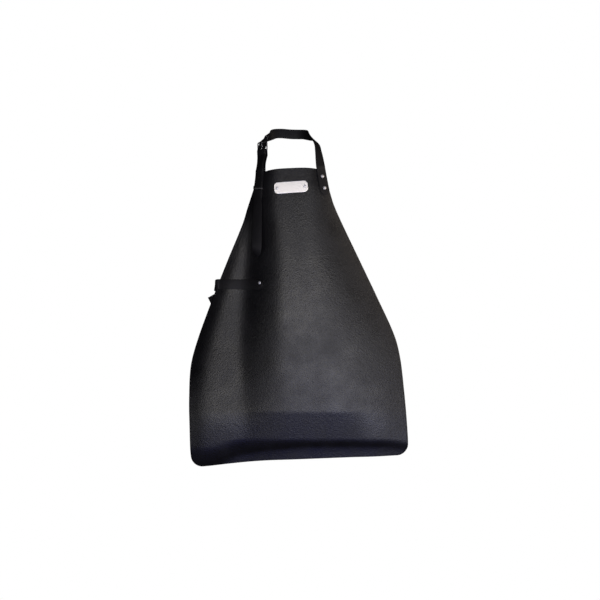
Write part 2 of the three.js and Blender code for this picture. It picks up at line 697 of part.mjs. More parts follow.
const apron = new THREE.Group();
const capSeat = -(PANEL_WALL / 2 + 2 * GAP);
const backSeat = -(backOut + STRAP_WALL / 2 + 2 * GAP);

const neckPath = new StrapPath(neckStations());
const prongPoint = bucklePoint(-PRONG.bend, PRONG.middleOut);
const prongPlace = nearestPlace(neckPath, prongPoint, neckPath.length / 3, neckPath.length);
const neckRivetHoles = Object.values(NECK_RIVETS).map(panelHole);
const neckHoles = [...neckRivetHoles, ...strapHoles(neckPath, prongPlace)];
const waistPath = new StrapPath(waistStations());
const bucklePath = new StrapPath(buckleStrapStations());
const buckleHoles = Object.values(BUCKLE_RIVETS).map(panelHole);
const plateHoles = atPlateRivets(holeTool);
const waistHole = panelHole(WAIST_RIVET);
const panelHoles = [...neckRivetHoles, ...buckleHoles, ...plateHoles, waistHole];

apron.add(named("apron_panel", cut(panelGeometry(), panelHoles), BLACK_LEATHER));
apron.add(named("neck_strap", cut(strapGeometry(neckPath, STRAP_STEP, true, true), neckHoles), BLACK_STRAP));
const buckleStrap = cut(strapGeometry(bucklePath, LOOP_STEP, true, true), [...buckleHoles, prongSlot()]);
apron.add(named("buckle_strap", buckleStrap, BLACK_STRAP));
apron.add(named("buckle_frame", buckleFrameGeometry(), BRIGHT_METAL));
apron.add(named("buckle_prong", prongGeometry(), BRIGHT_METAL));
apron.add(named("strap_keeper", keeperGeometry(), BLACK_STRAP));
const waistStrap = cut(strapGeometry(waistPath, LOOP_STEP, true, false), [waistHole]);
apron.add(named("waist_strap", waistStrap, BLACK_STRAP));
apron.add(named("waist_rivet", rivetAt(WAIST_RIVET, RIVET, headSeat, capSeat), BRIGHT_METAL));
apron.add(named("label_plate", cut(plateGeometry(), plateHoles), PLATE_METAL));
for (const [name, place] of Object.entries(NECK_RIVETS)) {
  apron.add(named(name, rivetAt(place, RIVET, headSeat, capSeat), BRIGHT_METAL));
}
for (const [name, place] of Object.entries(BUCKLE_RIVETS)) {
  apron.add(named(name, rivetAt(place, LOW_RIVET, headSeat, backSeat), BRIGHT_METAL));
}
const plateSeat = plateOut + PLATE.wall / 2 + GAP;
const plateRivet = () => rivetGeometry(PLATE_RIVET, plateSeat, capSeat - PLATE_BOW);
const [plateLeft, plateRight] = atPlateRivets(plateRivet);
apron.add(named("plate_rivet_left", plateLeft, BRIGHT_METAL));
apron.add(named("plate_rivet_right", plateRight, BRIGHT_METAL));

export default apron;
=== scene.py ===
"""Looks of a leather work apron: finer leather, straps and metal on the CAD frame, and its stage.

Sizes in the tables are millimetres, +Z up and the front facing -Y, as in the CAD part.
"""

import math

import bpy
import numpy as np
from bpy.props import FloatProperty, FloatVectorProperty, PointerProperty
from mathutils import Matrix


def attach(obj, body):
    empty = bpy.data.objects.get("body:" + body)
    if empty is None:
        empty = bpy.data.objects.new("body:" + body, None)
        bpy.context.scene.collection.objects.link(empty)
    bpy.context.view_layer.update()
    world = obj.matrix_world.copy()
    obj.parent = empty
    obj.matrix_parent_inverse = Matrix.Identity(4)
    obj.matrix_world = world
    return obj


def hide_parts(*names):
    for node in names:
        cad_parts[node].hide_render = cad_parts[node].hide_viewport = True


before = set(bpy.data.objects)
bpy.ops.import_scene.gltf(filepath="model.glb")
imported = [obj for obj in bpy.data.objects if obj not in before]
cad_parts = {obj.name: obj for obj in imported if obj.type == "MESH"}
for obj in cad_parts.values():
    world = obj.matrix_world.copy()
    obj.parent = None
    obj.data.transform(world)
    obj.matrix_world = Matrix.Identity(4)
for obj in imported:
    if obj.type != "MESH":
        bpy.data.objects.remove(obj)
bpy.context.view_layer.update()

bl_info = {
    "name": "Leather work apron",
    "version": (1, 0, 0),
    "blender": (4, 5, 0),
    "location": "3D View > Sidebar > Apron",
    "description": "Builds the apron's leather, straps and metal, and the stage they are seen on",
    "category": "Object",
}

MM = 0.001
UP = np.array((0.0, 0.0, 1.0))
SHARP = math.radians(40)  # bends sharper than this keep a crisp edge
PROBE = 0.5  # step for reading slopes and directions

# Leather and clearances
PANEL_WALL = 2.0
PANEL_EDGE = {"share": 0.22, "segments": 2, "angle": math.radians(50)}  # rounding of the cut edge
STRAP_WALL = 2.2
STRAP_WIDTH = 28.0
STRAP_EDGE = 0.75  # radius of a strap's burnished edges
TIP_EDGE = 0.6  # the same at a strap's narrow tip, as a share of its half width
GAP = 0.35  # between a fastener and what it holds
LAY = 0.75  # between a strap and the panel that it lies on
BACK_LAY = 1.6  # the same where a flat strap lies in the panel's hollow back
NECK_BACK = 109.0  # neck strap's inner face behind the panel's front ridge

# Panel sections from the bib's top edge down to the hem: cut edges left and right, a flat ridge
# between ridge_left and ridge_right, how far the right edge and the shelf left of the fold lie behind
# the ridge, how far the left edge curls behind the shelf, and fold from 0, a plain roll, to 1, a full fold
# Columns: z, left, shelf, ridge_left, ridge_right, right, right_back, shelf_back, left_back, fold
PANEL_ROWS = np.array([
    (-123, -95, -94, -50, 38, 82, 16, 31, 0, 0),
    (-172, -114, -112, -50, 38, 99, 20, 36, 0, 0),
    (-217, -132, -118, -48, 36, 111, 25, 42, 3, 0.4),
    (-261, -148, -120, -43, 34, 128, 31, 46, 5, 0.9),
    (-372, -200, -132, -36, 34, 176, 42, 51, 10, 1),
    (-483, -249.5, -148, -38, 40, 223.5, 47, 49, 19, 1),
    (-595, -295, -159, -36, 50, 268.5, 47, 41, 27, 1),
    (-661, -313.5, -161, -33, 60, 282, 44, 33, 29, 1),
    (-750, -319, -163, -30, 80, 288, 37, 22, 14, 1),
    (-817, -320, -165, -28, 90, 290.5, 30, 14, 11, 1),
    (-884, -321.5, -167, -28, 90, 292, 25, 10, 8, 1),
    (-927, -321, -168, -28, 90, 291, 23, 9, 7, 1),
], float)
ROLL_POWER = 1.55  # how late the sides roll back
FOLD_POWER = 1.75  # how late the fold falls to the shelf
CURL_POWER = 8.0  # how late the left margin curls back
SOFTEN = ((-27, 1), (-18, 3), (-9, 5), (0, 6), (9, 5), (18, 3), (27, 1))  # steps across and their weights
PANEL_STEP = 4.4  # facets of the panel

# Top edge of the bib, from -1 at its left corner to 1 at its right
BIB_TOP = -123.0
BIB_ARCH = 7.5  # rise of the edge
BIB_PEAK = 0.03  # where it is highest
BIB_POWER = 3  # how late it falls to the corners
BIB_LEAVE = 12.0  # height above the edge where the straps leave it
BIB_JOIN = 8.0  # height below the edge where the free end lies down on it
TOP_BLEND = 90.0  # height over which the arch fades

# Hem: its lower edge, a crease across the skirt, a steep band below that, and a lip under the band that
# widens to the right
HEM = -931.0
HEM_DIP = {"left": 13.0, "right": 2.2}  # fall of the edge towards its corners
HEM_FLAT = 0.2  # share of each half before it falls
HEM_BLEND = 120.0  # height over which the dip fades
CORNER_RADIUS = 30.0
CORNER_ROWS = 12
CREASE = {"z": -795.0, "tilt": -0.045, "slope": 0.14, "soft": 20.0}
CREASE_ENDS = {"left": -120.0, "right": 125.0, "run": 80.0, "right_loss": 0.6}
BAND = {"z": -872.0, "tilt": -0.045, "height": 19.0, "slope": 0.5, "power": 1.5}
BAND_ENDS = {"left": -175.0, "left_fall": 26.0, "right": 215.0, "right_fall": 13.0, "run": 110.0}
LIP = {"start": 40.0, "reach": 220.0, "fall": 26.0, "power": 1.7, "slope": 0.13, "round": 9.0}

# Where the pieces sit on the panel: x across, z up
NECK_END = (90.5, -192.0)
NECK_RIVETS = {"neck_rivet_lower": (86.3, -173.5), "neck_rivet_upper": (81.5, -141.0)}
BUCKLE_STRAP_END = -201.0
BUCKLE_RIVETS = {"buckle_rivet_lower": (-96.8, -187.0), "buckle_rivet_upper": (-90.8, -139.0)}
WAIST_RIVET = (-104.0, -430.5)

# Plate on the bib
PLATE = {"x": -5.7, "z": -169.0, "width": 94.0, "height": 31.0, "wall": 1.0, "corner": 11.0, "tilt": 0.027}
PLATE_EDGE = {"break": 0.3, "turn": 0.3, "border": 0.4}  # its broken edge, and a flat border inside that
PLATE_RIVETS = 77.0  # distance between the plate's rivets
PLATE_LEAN = 0.03  # how much its face looks down
PLATE_BOW = 1.1  # how far the bib bends away behind the flat plate's ends

# Rivets: dome, shank and cap sizes, then the section from the cap's middle to the dome's, as shares of
# the cap's radius and rise and of the head's
RIVET = {"head": 4.8, "rise": 2.4, "shank": 1.6, "cap": 4.2, "cap_rise": 1.1}
LOW_RIVET = {**RIVET, "head": 4.4, "rise": 1.1}
PLATE_RIVET = {**RIVET, "head": 4.4, "rise": 1.6}
CAP_SECTION = [(0.7, 1.0), (0.93, 0.8), (1.0, 0.4), (1.0, 0.0)]
RIM_SECTION = [(0.97, 0.0), (1.0, 0.12), (0.97, 0.25), (0.86, 0.27)]
DOME = {"radius": 0.84, "foot": 0.27, "angles": (8, 20, 34, 48, 62, 76, 89)}
POLE = 0.01  # radius of the smallest ring round an axis
RIVET_FACETS = 32

# Buckle on the left of the neck; turn is the way that its face looks, in degrees from the front
BUCKLE = {"x": -82.0, "back": 53.0, "z": -43.0, "turn": -36.0, "lean": 0.1}
BUCKLE_SIZE = {"width": 36.0, "height": 28.0, "bar": 3.4, "wall": 3.2, "corner": 4.0, "edge": 1.4}
BUCKLE_LEG = 18.0  # straight stretch of the buckle strap below the lower bar
PRONG = {"radius": 1.3, "ring": 3.9, "middle_out": 2.2, "bend": 3.0, "blunt": 0.25}
PRONG_HOOK = (-60.0, -120.0, -180.0, -240.0, -300.0)  # degrees round the lower bar
PRONG_STATIONS = 72
PRONG_FACETS = 14

# Keeper, the narrow loop round both straps, and how far they bow over it
KEEPER = {"z": -164.0, "height": 9.0, "wall": 1.4, "inner": 6.0, "corner": 1.6, "edge": 0.5}
KEEPER_BOW = {"rise": 2.1, "spread": 23.0, "free_end": 1.0 / 3.0}

# Punched holes; depths of the punch in strap thicknesses
STRAP_HOLE = {"radius": 2.2, "reach": 4.2, "pitch": 25.0, "spare": 4, "depth": 3.0}
SLOT = {"width": 5.0, "length": 17.0, "depth": 6.0}  # for the prong, in the buckle strap
PUNCH_FACETS = 20

# Neck strap through the buckle: bar (1 upper, 0 middle, -1 lower), rise above it, depth from 0
# behind the bars to 1 before them, out and slope
THREAD_ROWS = [
    (1, 5.0, 0.0, -2.0, 0.0),
    (1, -1.0, 0.0, -0.6, 0.2),
    (0, -2.0, 0.5, 0.0, 0.6),
    (-1, 1.0, 1.0, 0.0, 0.2),
    (-1, -14.0, 1.0, 0.0, 0.0),
]

# Free stretch of the neck strap round the neck: x, back, z, turn of its outer face, and how much
# that face looks up, as it does where the strap lies on a shoulder
BEHIND_NECK = NECK_BACK + STRAP_WALL / 2.0
NECK_ROWS = [
    (75.5, 24.0, -66.0, 46.0, 0.0),
    (72.0, 40.0, -44.0, 52.0, 0.35),
    (61.0, 62.0, -23.5, 85.0, 1.0),
    (51.5, 86.0, -11.5, 125.0, 0.4),
    (39.0, 103.0, -4.0, 158.0, 0.0),
    (22.0, BEHIND_NECK, -1.5, 175.0, 0.0),
    (0.0, BEHIND_NECK, 0.0, 180.0, 0.0),
    (-28.0, BEHIND_NECK, 3.5, 184.0, -0.06),
    (-48.0, 102.5, 1.5, 200.0, 0.0),
    (-63.0, 87.0, -9.5, 234.0, 0.7),
    (-76.0, 70.0, -20.5, 272.0, 0.4),
]

# Free end below the keeper: x, z, how far it hangs before the panel, and turn; its tip twists to the left
FREE_END_ROWS = [
    (-101.5, -212.0, 10.0, 324.0),
    (-104.0, -250.0, 13.0, 331.0),
    (-107.0, -300.0, 18.0, 342.0),
    (-109.0, -330.0, 22.0, 346.0),
    (-111.0, -354.0, 15.0, 318.0),
]

# Waist strap: a run on the panel's front, a loop round its left edge and a tail behind it
WAIST_FRONT = {"start": (-95.0, -436.0), "end": (-222.0, -428.0), "steps": 10}
WAIST_LOOP = {"bulge": 7.0, "reach": 5.0, "drop": 8.0, "steps": 6}
# Tail: x, z, distance behind the panel, and turn
WAIST_ROWS = [
    (-216.0, -441.0, 6.0, 150.0),
    (-206.0, -446.0, 6.5, 168.0),
    (-201.0, -450.0, 12.0, 233.0),
    (-207.0, -454.0, 18.0, 305.0),
    (-224.0, -463.0, 17.0, 318.0),
    (-241.0, -471.0, 14.0, 322.0),
    (-253.0, -477.0, 11.0, 322.0),
]

# Stations and facets of the straps
CORNER_STEPS = 9  # stations of the buckle strap on the bib's left corner
BACK_EVERY = 3  # every third of them on its flat back
LOOP_TURNS = (0.0, 45.0, 90.0, 135.0, 180.0)  # degrees of the buckle strap round the lower bar
FINE_STEP = 2.5  # facets along a strap
END_FACETS = 8  # facets of a quarter of a rounded strap end

# Layers at the bib's corners, measured from the panel's middle surface
LAID_OUT = PANEL_WALL / 2.0 + LAY + STRAP_WALL / 2.0
BACK_OUT = PANEL_WALL / 2.0 + BACK_LAY + STRAP_WALL / 2.0
HEAD_SEAT = LAID_OUT + STRAP_WALL / 2.0 + GAP
FREE_OUT = HEAD_SEAT + LOW_RIVET["rise"] + GAP + STRAP_WALL / 2.0
PLATE_OUT = PANEL_WALL / 2.0 + LAY + PLATE["wall"] / 2.0
CAP_SEAT = -(PANEL_WALL / 2.0 + 2.0 * GAP)
BACK_SEAT = -(BACK_OUT + STRAP_WALL / 2.0 + 2.0 * GAP)
ABOVE_BIB = BIB_TOP + BIB_LEAVE
BAR_RISE = (BUCKLE_SIZE["height"] - BUCKLE_SIZE["bar"]) / 2.0
LOOP_RADIUS = math.hypot(BUCKLE_SIZE["bar"], BUCKLE_SIZE["wall"]) / 2.0 + 2.0 * GAP + STRAP_WALL / 2.0

# Finishes: relief of the grain and gloss of the hides, and what the straps add to the panel's roughness
PANEL_FINISH = {"relief": 0.5, "gloss": 0.5}
STRAP_FINISH = {"relief": 0.3, "gloss": 0.25}
STRAP_MATTE = 0.15
# Pebbles of such a hide are 1 to 2 mm across; they are drawn coarser, so that they show
GRAIN = 2.6
HIDE = {"wrinkle": 1.25, "mottle": 2.86, "depth": 0.25}  # sizes in pebbles
HIDE_PATCH = {"size": 71.4, "smoother": 0.07, "rougher": 0.08, "tint": 0.2}
EDGE_HIGHLIGHT = {"colour": "#625f5d", "power": 5.0}  # painted highlight on the keeper's lower border, where its edge catches the light, and how narrow it is
NAP = {
    "size": 1.43, "depth": 0.4, "relief": 0.4, "patch": 40.0, "tint": 0.4, "roughness": 0.95, "gloss": 0.2,
}
WEAR = {"size": 2.5, "depth": 0.1, "smoother": 0.02, "rougher": 0.03}
FLOOR_ROUGHNESS = 0.9

# Stage in metres: where the camera stands, what the lights look at, and the lights with their place,
# size, the setting that powers them, their share of it, and colour
CAMERA_AT = {"x": 0.0056, "z": -0.4833}
AIM = (0.0, -0.1, -0.65)
LIGHT_SPREAD = math.radians(110)
LIGHTS = [
    ("Softbox", (0.3, -2.3, -0.6), (2.5, 0.55), "key", 1.0, "#fffaf2"),
    ("Low softbox", (0.5, -2.3, -1.15), (2.2, 0.55), "key", 0.74, "#d4d9ff"),
    ("Top light", (0.1, -1.6, 0.9), (1.2, 0.6), "top", 1.0, "#dfe1ff"),
    ("Right strip", (2.0, -0.4, -0.25), (1.5, 1.2), "side", 1.0, "#fff1e2"),
    ("Left strip", (-1.6, -1.5, -1.0), (0.5, 0.7), "side", 0.08, "#ffffff"),
    ("Floor glow", (0.0, -1.7, -1.9), (1.8, 0.6), "glow", 1.0, "#8086ff"),
    ("Back softbox", (0.7, 2.2, -0.1), (1.8, 1.0), "back", 1.0, "#ffffff"),
]
FLOOR = {"half": 1200.0, "front": -2000.0, "back": 400.0, "z": -2400.0}  # millimetres, as the pieces are
DIM_WORLD = 0.009


# Numbers


def mix(a, b, t):
    return a + (b - a) * t


def smooth(t):
    s = np.clip(t, 0.0, 1.0)
    return s * s * (3.0 - 2.0 * s)


def unit(v):
    return v / np.linalg.norm(v)


def curve_at(places, values, place):
    """Smooth curve through rows of values at uneven places, worked out at one or more places."""
    place = np.clip(place, places[0], places[-1])
    run = np.diff(places)[:, None]
    slopes = np.empty_like(values)
    slopes[[0, -1]] = (np.diff(values, axis=0) / run)[[0, -1]]
    slopes[1:-1] = (values[2:] - values[:-2]) / (places[2:] - places[:-2])[:, None]
    k = np.clip(np.searchsorted(places, place) - 1, 0, len(places) - 2)
    t = (place - places[k])[..., None] / run[k]
    bow = run[k] * t * (1.0 - t) * ((1.0 - t) * slopes[k] - t * slopes[k + 1])
    return mix(values[k], values[k + 1], smooth(t)) + bow


# Panel surface


def panel_row(z):
    """Columns of the panel's table at the given heights."""
    return np.moveaxis(curve_at(-PANEL_ROWS[:, 0], PANEL_ROWS, -np.asarray(z, float)), -1, 0)


def hem_drop(middle):
    """Fall of the hem's edge at a place from -1 at the left corner to 1 at the right."""
    return HEM_DIP["left"] * smooth(-middle - HEM_FLAT) + HEM_DIP["right"] * smooth(middle - HEM_FLAT)


def crease_lean(x, z):
    """How far the skirt leans back below its crease, which is crisp in the middle and soft at its ends."""
    left = smooth((CREASE_ENDS["left"] - x) / CREASE_ENDS["run"])
    right = smooth((x - CREASE_ENDS["right"]) / CREASE_ENDS["run"])
    fall = np.maximum(CREASE["z"] + CREASE["tilt"] * x - z, 0.0)
    slope = CREASE["slope"] * (1.0 - CREASE_ENDS["right_loss"] * right)
    return slope * mix(fall, fall ** 2 / (fall + CREASE["soft"]), left + right)


def hem_back(x, z):
    """How far the crease, the steep band and the lip of the hem set the panel back."""
    left = smooth((BAND_ENDS["left"] - x) / BAND_ENDS["run"])
    right = smooth((x - BAND_ENDS["right"]) / BAND_ENDS["run"])
    top = BAND["z"] + BAND["tilt"] * x - BAND_ENDS["left_fall"] * left - BAND_ENDS["right_fall"] * right
    narrowing = np.maximum((LIP["start"] - x) / LIP["reach"], 0.0)
    height = BAND["height"] + LIP["fall"] * narrowing ** LIP["power"]
    lip_top = top - height
    down = np.clip((top - z) / height, 0.0, 1.0)
    band = BAND["slope"] / BAND["power"] * height * down ** BAND["power"]
    under = np.maximum(lip_top - z, 0.0)
    turn = (BAND["slope"] - LIP["slope"]) * LIP["round"] * (1.0 - np.exp(-under / LIP["round"]))
    return crease_lean(x, np.maximum(z, lip_top)) + band + turn + LIP["slope"] * under


def sharp_back(x, z):
    """Distance of the panel's middle surface behind its front ridge, before the hide softens it."""
    _, left, shelf, ridge_left, ridge_right, right, right_back, shelf_back, left_back, fold = panel_row(z)
    roll = np.maximum(x - ridge_right, 0.0) / (right - ridge_right)
    across = np.maximum(ridge_left - x, 0.0) / (ridge_left - shelf)
    drop = mix(across ** ROLL_POWER, np.minimum(across, 1.0) ** FOLD_POWER, fold)
    curl = np.clip((shelf - x) / (shelf - left), 0.0, 1.0)
    folds = right_back * roll ** ROLL_POWER + shelf_back * drop + left_back * curl ** CURL_POWER
    return folds + hem_back(x, z)


def panel_back(x, z):
    """The same with its bends softened across the panel, as thick hide takes them."""
    x = np.asarray(x, float)
    whole = sum(weight for _, weight in SOFTEN)
    return sum(weight * sharp_back(x + step, z) for step, weight in SOFTEN) / whole


def panel_point(x, z):
    return np.stack(np.broadcast_arrays(x, panel_back(x, z) - NECK_BACK, z), axis=-1).astype(float)


def panel_normal(x, z):
    """Direction that the panel's front face looks."""
    slope_x = (panel_back(x + PROBE, z) - panel_back(x - PROBE, z)) / (2.0 * PROBE)
    slope_z = (panel_back(x, z + PROBE) - panel_back(x, z - PROBE)) / (2.0 * PROBE)
    looks = np.stack(np.broadcast_arrays(slope_x, -1.0, slope_z), axis=-1)
    return looks / np.linalg.norm(looks, axis=-1, keepdims=True)


def panel_offset(x, z, out):
    return panel_point(x, z) + panel_normal(x, z) * out


def corner_inset(z):
    """How far a rounded corner of the hem sets the cut edge in."""
    above = np.minimum((z - HEM) / CORNER_RADIUS, 1.0)
    return CORNER_RADIUS * (1.0 - np.sqrt(1.0 - (1.0 - above) ** 2))


def panel_grid():
    """Rows of points on the panel's middle surface, from the hem up."""
    low = HEM + CORNER_RADIUS * (1.0 - np.cos(np.arange(CORNER_ROWS) / CORNER_ROWS * math.pi / 2.0))
    start = HEM + CORNER_RADIUS
    even = np.linspace(start, BIB_TOP, math.ceil((BIB_TOP - start) / PANEL_STEP) + 1)
    height = np.concatenate([low, even])[:, None]
    row = panel_row(height)
    left = row[1] + corner_inset(height)
    right = row[5] - corner_inset(height)
    columns = math.ceil((PANEL_ROWS[:, 5] - PANEL_ROWS[:, 1]).max() / PANEL_STEP)
    share = np.linspace(0.0, 1.0, columns + 1)[None, :]
    x = mix(left, right, share)
    middle = 2.0 * share - 1.0
    near_top = smooth((height - BIB_TOP + TOP_BLEND) / TOP_BLEND)
    near_hem = smooth((HEM + HEM_BLEND - height) / HEM_BLEND)
    arch = BIB_ARCH * (1.0 - np.abs(middle - BIB_PEAK) ** BIB_POWER)
    z = height + near_top * arch - near_hem * hem_drop(middle)
    return panel_point(x, z)


# Paths of the straps


def facing(turn):
    angle = math.radians(turn)
    return np.array((math.sin(angle), -math.cos(angle), 0.0))


BUCKLE_FACE = facing(BUCKLE["turn"])
BUCKLE_LEAN = np.array((BUCKLE["lean"], BUCKLE["lean"], 1.0))
BUCKLE_UP = unit(BUCKLE_LEAN - BUCKLE_FACE * (BUCKLE_LEAN @ BUCKLE_FACE))
BUCKLE_SIDE = np.cross(BUCKLE_UP, BUCKLE_FACE)
BUCKLE_MIDDLE = np.array((BUCKLE["x"], BUCKLE["back"] - NECK_BACK, BUCKLE["z"]))


def station(point, normal):
    """A point on a strap's middle surface and the way that its outer face looks."""
    return np.concatenate([point, normal])


def laid_station(x, z, out):
    return station(panel_offset(x, z, out), panel_normal(x, z))


def turned(row):
    """The same station with its faces swapped."""
    return station(row[:3], -row[3:])


def buckle_point(rise, out):
    return BUCKLE_MIDDLE + BUCKLE_UP * rise + BUCKLE_FACE * out


def buckle_station(rise, out, slope):
    return station(buckle_point(rise, out), unit(BUCKLE_FACE + BUCKLE_UP * slope))


class StrapPath:
    """Stations that a strap runs through, with the distance of each along it."""

    def __init__(self, stations):
        self.stations = np.array(stations)
        steps = np.linalg.norm(np.diff(self.stations[:, :3], axis=0), axis=1)
        self.places = np.concatenate([[0.0], np.cumsum(steps)])
        self.length = self.places[-1]

    def point(self, place):
        return curve_at(self.places, self.stations, np.asarray(place, float))[..., :3]

    def frames(self, places):
        """Points, directions along and across, and outer faces at distances along the strap."""
        places = np.asarray(places, float)
        rows = curve_at(self.places, self.stations, places)
        ahead = self.point(np.minimum(places + PROBE, self.length))
        along = ahead - self.point(np.maximum(places - PROBE, 0.0))
        along /= np.linalg.norm(along, axis=-1, keepdims=True)
        across = -np.cross(rows[..., 3:], along)
        across /= np.linalg.norm(across, axis=-1, keepdims=True)
        return rows[..., :3], along, across, np.cross(across, along)

    def nearest(self, target):
        """Distance along the later two thirds of the strap that passes nearest to a point."""
        places = np.arange(self.length / 3.0, self.length, PROBE)
        return places[np.argmin(np.linalg.norm(self.point(places) - target, axis=1))]


def corner_x(z):
    """The straps' middle line on the bib's left corner."""
    (low_x, low_z), (high_x, high_z) = BUCKLE_RIVETS.values()
    return mix(low_x, high_x, (z - low_z) / (high_z - low_z))


def keeper_bow(z):
    """How far the buckle strap bows out over the keeper's inner wall."""
    return KEEPER_BOW["rise"] * smooth(1.0 - abs(z - KEEPER["z"]) / KEEPER_BOW["spread"])


def neck_path():
    (low_x, low_z), (high_x, high_z) = NECK_RIVETS.values()
    stations = []
    for z in (NECK_END[1], low_z, mix(low_z, high_z, 0.5), high_z, BIB_TOP):
        x = NECK_END[0] if z < low_z else mix(low_x, high_x, (z - low_z) / (high_z - low_z))
        stations.append(laid_station(x, z, LAID_OUT + LAY if z == BIB_TOP else LAID_OUT))
    leave = mix(low_x, high_x, (ABOVE_BIB - low_z) / (high_z - low_z))
    stations.append(laid_station(leave, ABOVE_BIB, LAID_OUT + 2.0 * LAY))
    for x, back, z, turn, lift in NECK_ROWS:
        stations.append(station((x, back - NECK_BACK, z), unit(facing(turn) + lift * UP)))
    behind = -(BUCKLE_SIZE["wall"] / 2.0 + GAP + STRAP_WALL / 2.0)
    before = LOOP_RADIUS + STRAP_WALL + 2.0 * GAP
    for bar, rise, depth, out, slope in THREAD_ROWS:
        stations.append(buckle_station(bar * BAR_RISE + rise, mix(behind, before, depth) + out, slope))
    stations.append(laid_station(corner_x(ABOVE_BIB), ABOVE_BIB, FREE_OUT + LAY))
    (_, low_z), (_, high_z) = BUCKLE_RIVETS.values()
    for z in (BIB_TOP - BIB_JOIN, high_z, KEEPER["z"], low_z):
        stations.append(laid_station(corner_x(z), z, FREE_OUT + KEEPER_BOW["free_end"] * keeper_bow(z)))
    for x, z, out, turn in FREE_END_ROWS:
        stations.append(station(panel_point(x, z) + (0.0, -out, 0.0), facing(turn)))
    return StrapPath(stations)


def buckle_strap_path():
    stations = []
    heights = [mix(BUCKLE_STRAP_END, BIB_TOP - LAY, k / CORNER_STEPS) for k in range(CORNER_STEPS + 1)]
    for z in heights:
        stations.append(laid_station(corner_x(z), z, LAID_OUT + keeper_bow(z)))
    stations.append(laid_station(corner_x(ABOVE_BIB), ABOVE_BIB, LAID_OUT + LAY))
    stations.append(buckle_station(-BAR_RISE - BUCKLE_LEG, LOOP_RADIUS, 0.0))
    for turn in np.radians(LOOP_TURNS):
        point = buckle_point(-BAR_RISE + LOOP_RADIUS * math.sin(turn), LOOP_RADIUS * math.cos(turn))
        stations.append(station(point, BUCKLE_FACE * math.cos(turn) + BUCKLE_UP * math.sin(turn)))
    stations.append(turned(buckle_station(-BAR_RISE - BUCKLE_LEG, -LOOP_RADIUS, 0.0)))
    stations.append(turned(laid_station(corner_x(ABOVE_BIB), ABOVE_BIB, -BACK_OUT)))
    for z in heights[::-BACK_EVERY]:
        stations.append(turned(laid_station(corner_x(z), z, -BACK_OUT)))
    return StrapPath(stations)


def waist_path():
    (start_x, start_z), (end_x, end_z) = WAIST_FRONT["start"], WAIST_FRONT["end"]
    stations = []
    for share in np.linspace(0.0, 1.0, WAIST_FRONT["steps"] + 1):
        stations.append(laid_station(mix(start_x, end_x, share), mix(start_z, end_z, share), LAID_OUT))
    for share in np.linspace(0.0, 1.0, WAIST_LOOP["steps"] + 1):
        z = end_z - WAIST_LOOP["drop"] * share
        edge = panel_row(z)[1]
        front = panel_normal(edge, z)
        outward = unit(np.cross(front, UP))
        turn = math.pi * share
        normal = front * math.cos(turn) + outward * math.sin(turn)
        bulge = (WAIST_LOOP["bulge"] - WAIST_LOOP["reach"]) * math.sin(turn)
        point = panel_point(edge, z) + normal * WAIST_LOOP["reach"] + outward * bulge
        stations.append(station(point, normal))
    for x, z, behind, turn in WAIST_ROWS:
        stations.append(station(panel_point(x, z) + (0.0, behind, 0.0), facing(turn)))
    return StrapPath(stations)


# Meshes


def make_object(name, points, faces):
    """Linked object from millimetre points and faces, shaded smooth."""
    mesh = bpy.data.meshes.new(name)
    mesh.from_pydata((np.asarray(points).reshape(-1, 3) * MM).tolist(), [], faces)
    mesh.validate()
    mesh.shade_smooth()
    mesh.set_sharp_from_angle(angle=SHARP)
    made = bpy.data.objects.new(name, mesh)
    bpy.context.scene.collection.objects.link(made)
    return made


def drop(obj):
    """Removes a helper object with its mesh."""
    mesh = obj.data
    bpy.data.objects.remove(obj)
    bpy.data.meshes.remove(mesh)


def grid_faces(rows, columns, close_rows=False, close_columns=False):
    """Quads over a grid of points; a closed direction joins its last line to its first."""
    i = np.arange(rows if close_rows else rows - 1)[:, None]
    j = np.arange(columns if close_columns else columns - 1)[None, :]
    up = (i + 1) % rows
    beside = (j + 1) % columns
    corners = [i * columns + j, i * columns + beside, up * columns + beside, up * columns + j]
    return np.stack(np.broadcast_arrays(*corners), axis=-1).reshape(-1, 4).tolist()


def loft(name, rings, closed=False):
    """Skin through equal rings of points; an open one gets two end faces."""
    rings = np.asarray(rings)
    rows, columns = rings.shape[:2]
    faces = grid_faces(rows, columns, closed, True)
    if not closed:
        faces.append(list(range(columns))[::-1])
        faces.append(list(range((rows - 1) * columns, rows * columns)))
    return make_object(name, rings, faces)


def rounded_ring(half_width, half_height, radius, facets=4):
    """Points round a rectangle with rounded corners."""
    points = []
    for quarter, (side_x, side_y) in enumerate([(1, 1), (-1, 1), (-1, -1), (1, -1)]):
        for angle in np.linspace(0.0, math.pi / 2.0, facets) + quarter * math.pi / 2.0:
            x = side_x * (half_width - radius) + radius * math.cos(angle)
            y = side_y * (half_height - radius) + radius * math.sin(angle)
            points.append((x, y))
    return np.array(points)


def closed_band(path, section):
    """Rings of one section, given outwards and along, swept round a flat closed path."""
    ahead = np.roll(path, -1, axis=0) - np.roll(path, 1, axis=0)
    outwards = np.column_stack([ahead[:, 1], -ahead[:, 0]])
    outwards /= np.linalg.norm(outwards, axis=1, keepdims=True)
    flat = path[:, None, :] + section[None, :, :1] * outwards[:, None, :]
    depth = np.broadcast_to(section[None, :, 1:], (*flat.shape[:2], 1))
    return np.concatenate([flat, depth], axis=2)


def place_at(points, origin, side, up, out):
    """Points given along side, up and out, moved to an origin."""
    return origin + np.asarray(points) @ np.stack([side, up, out])


# Straps, buckle, keeper, rivets and plate


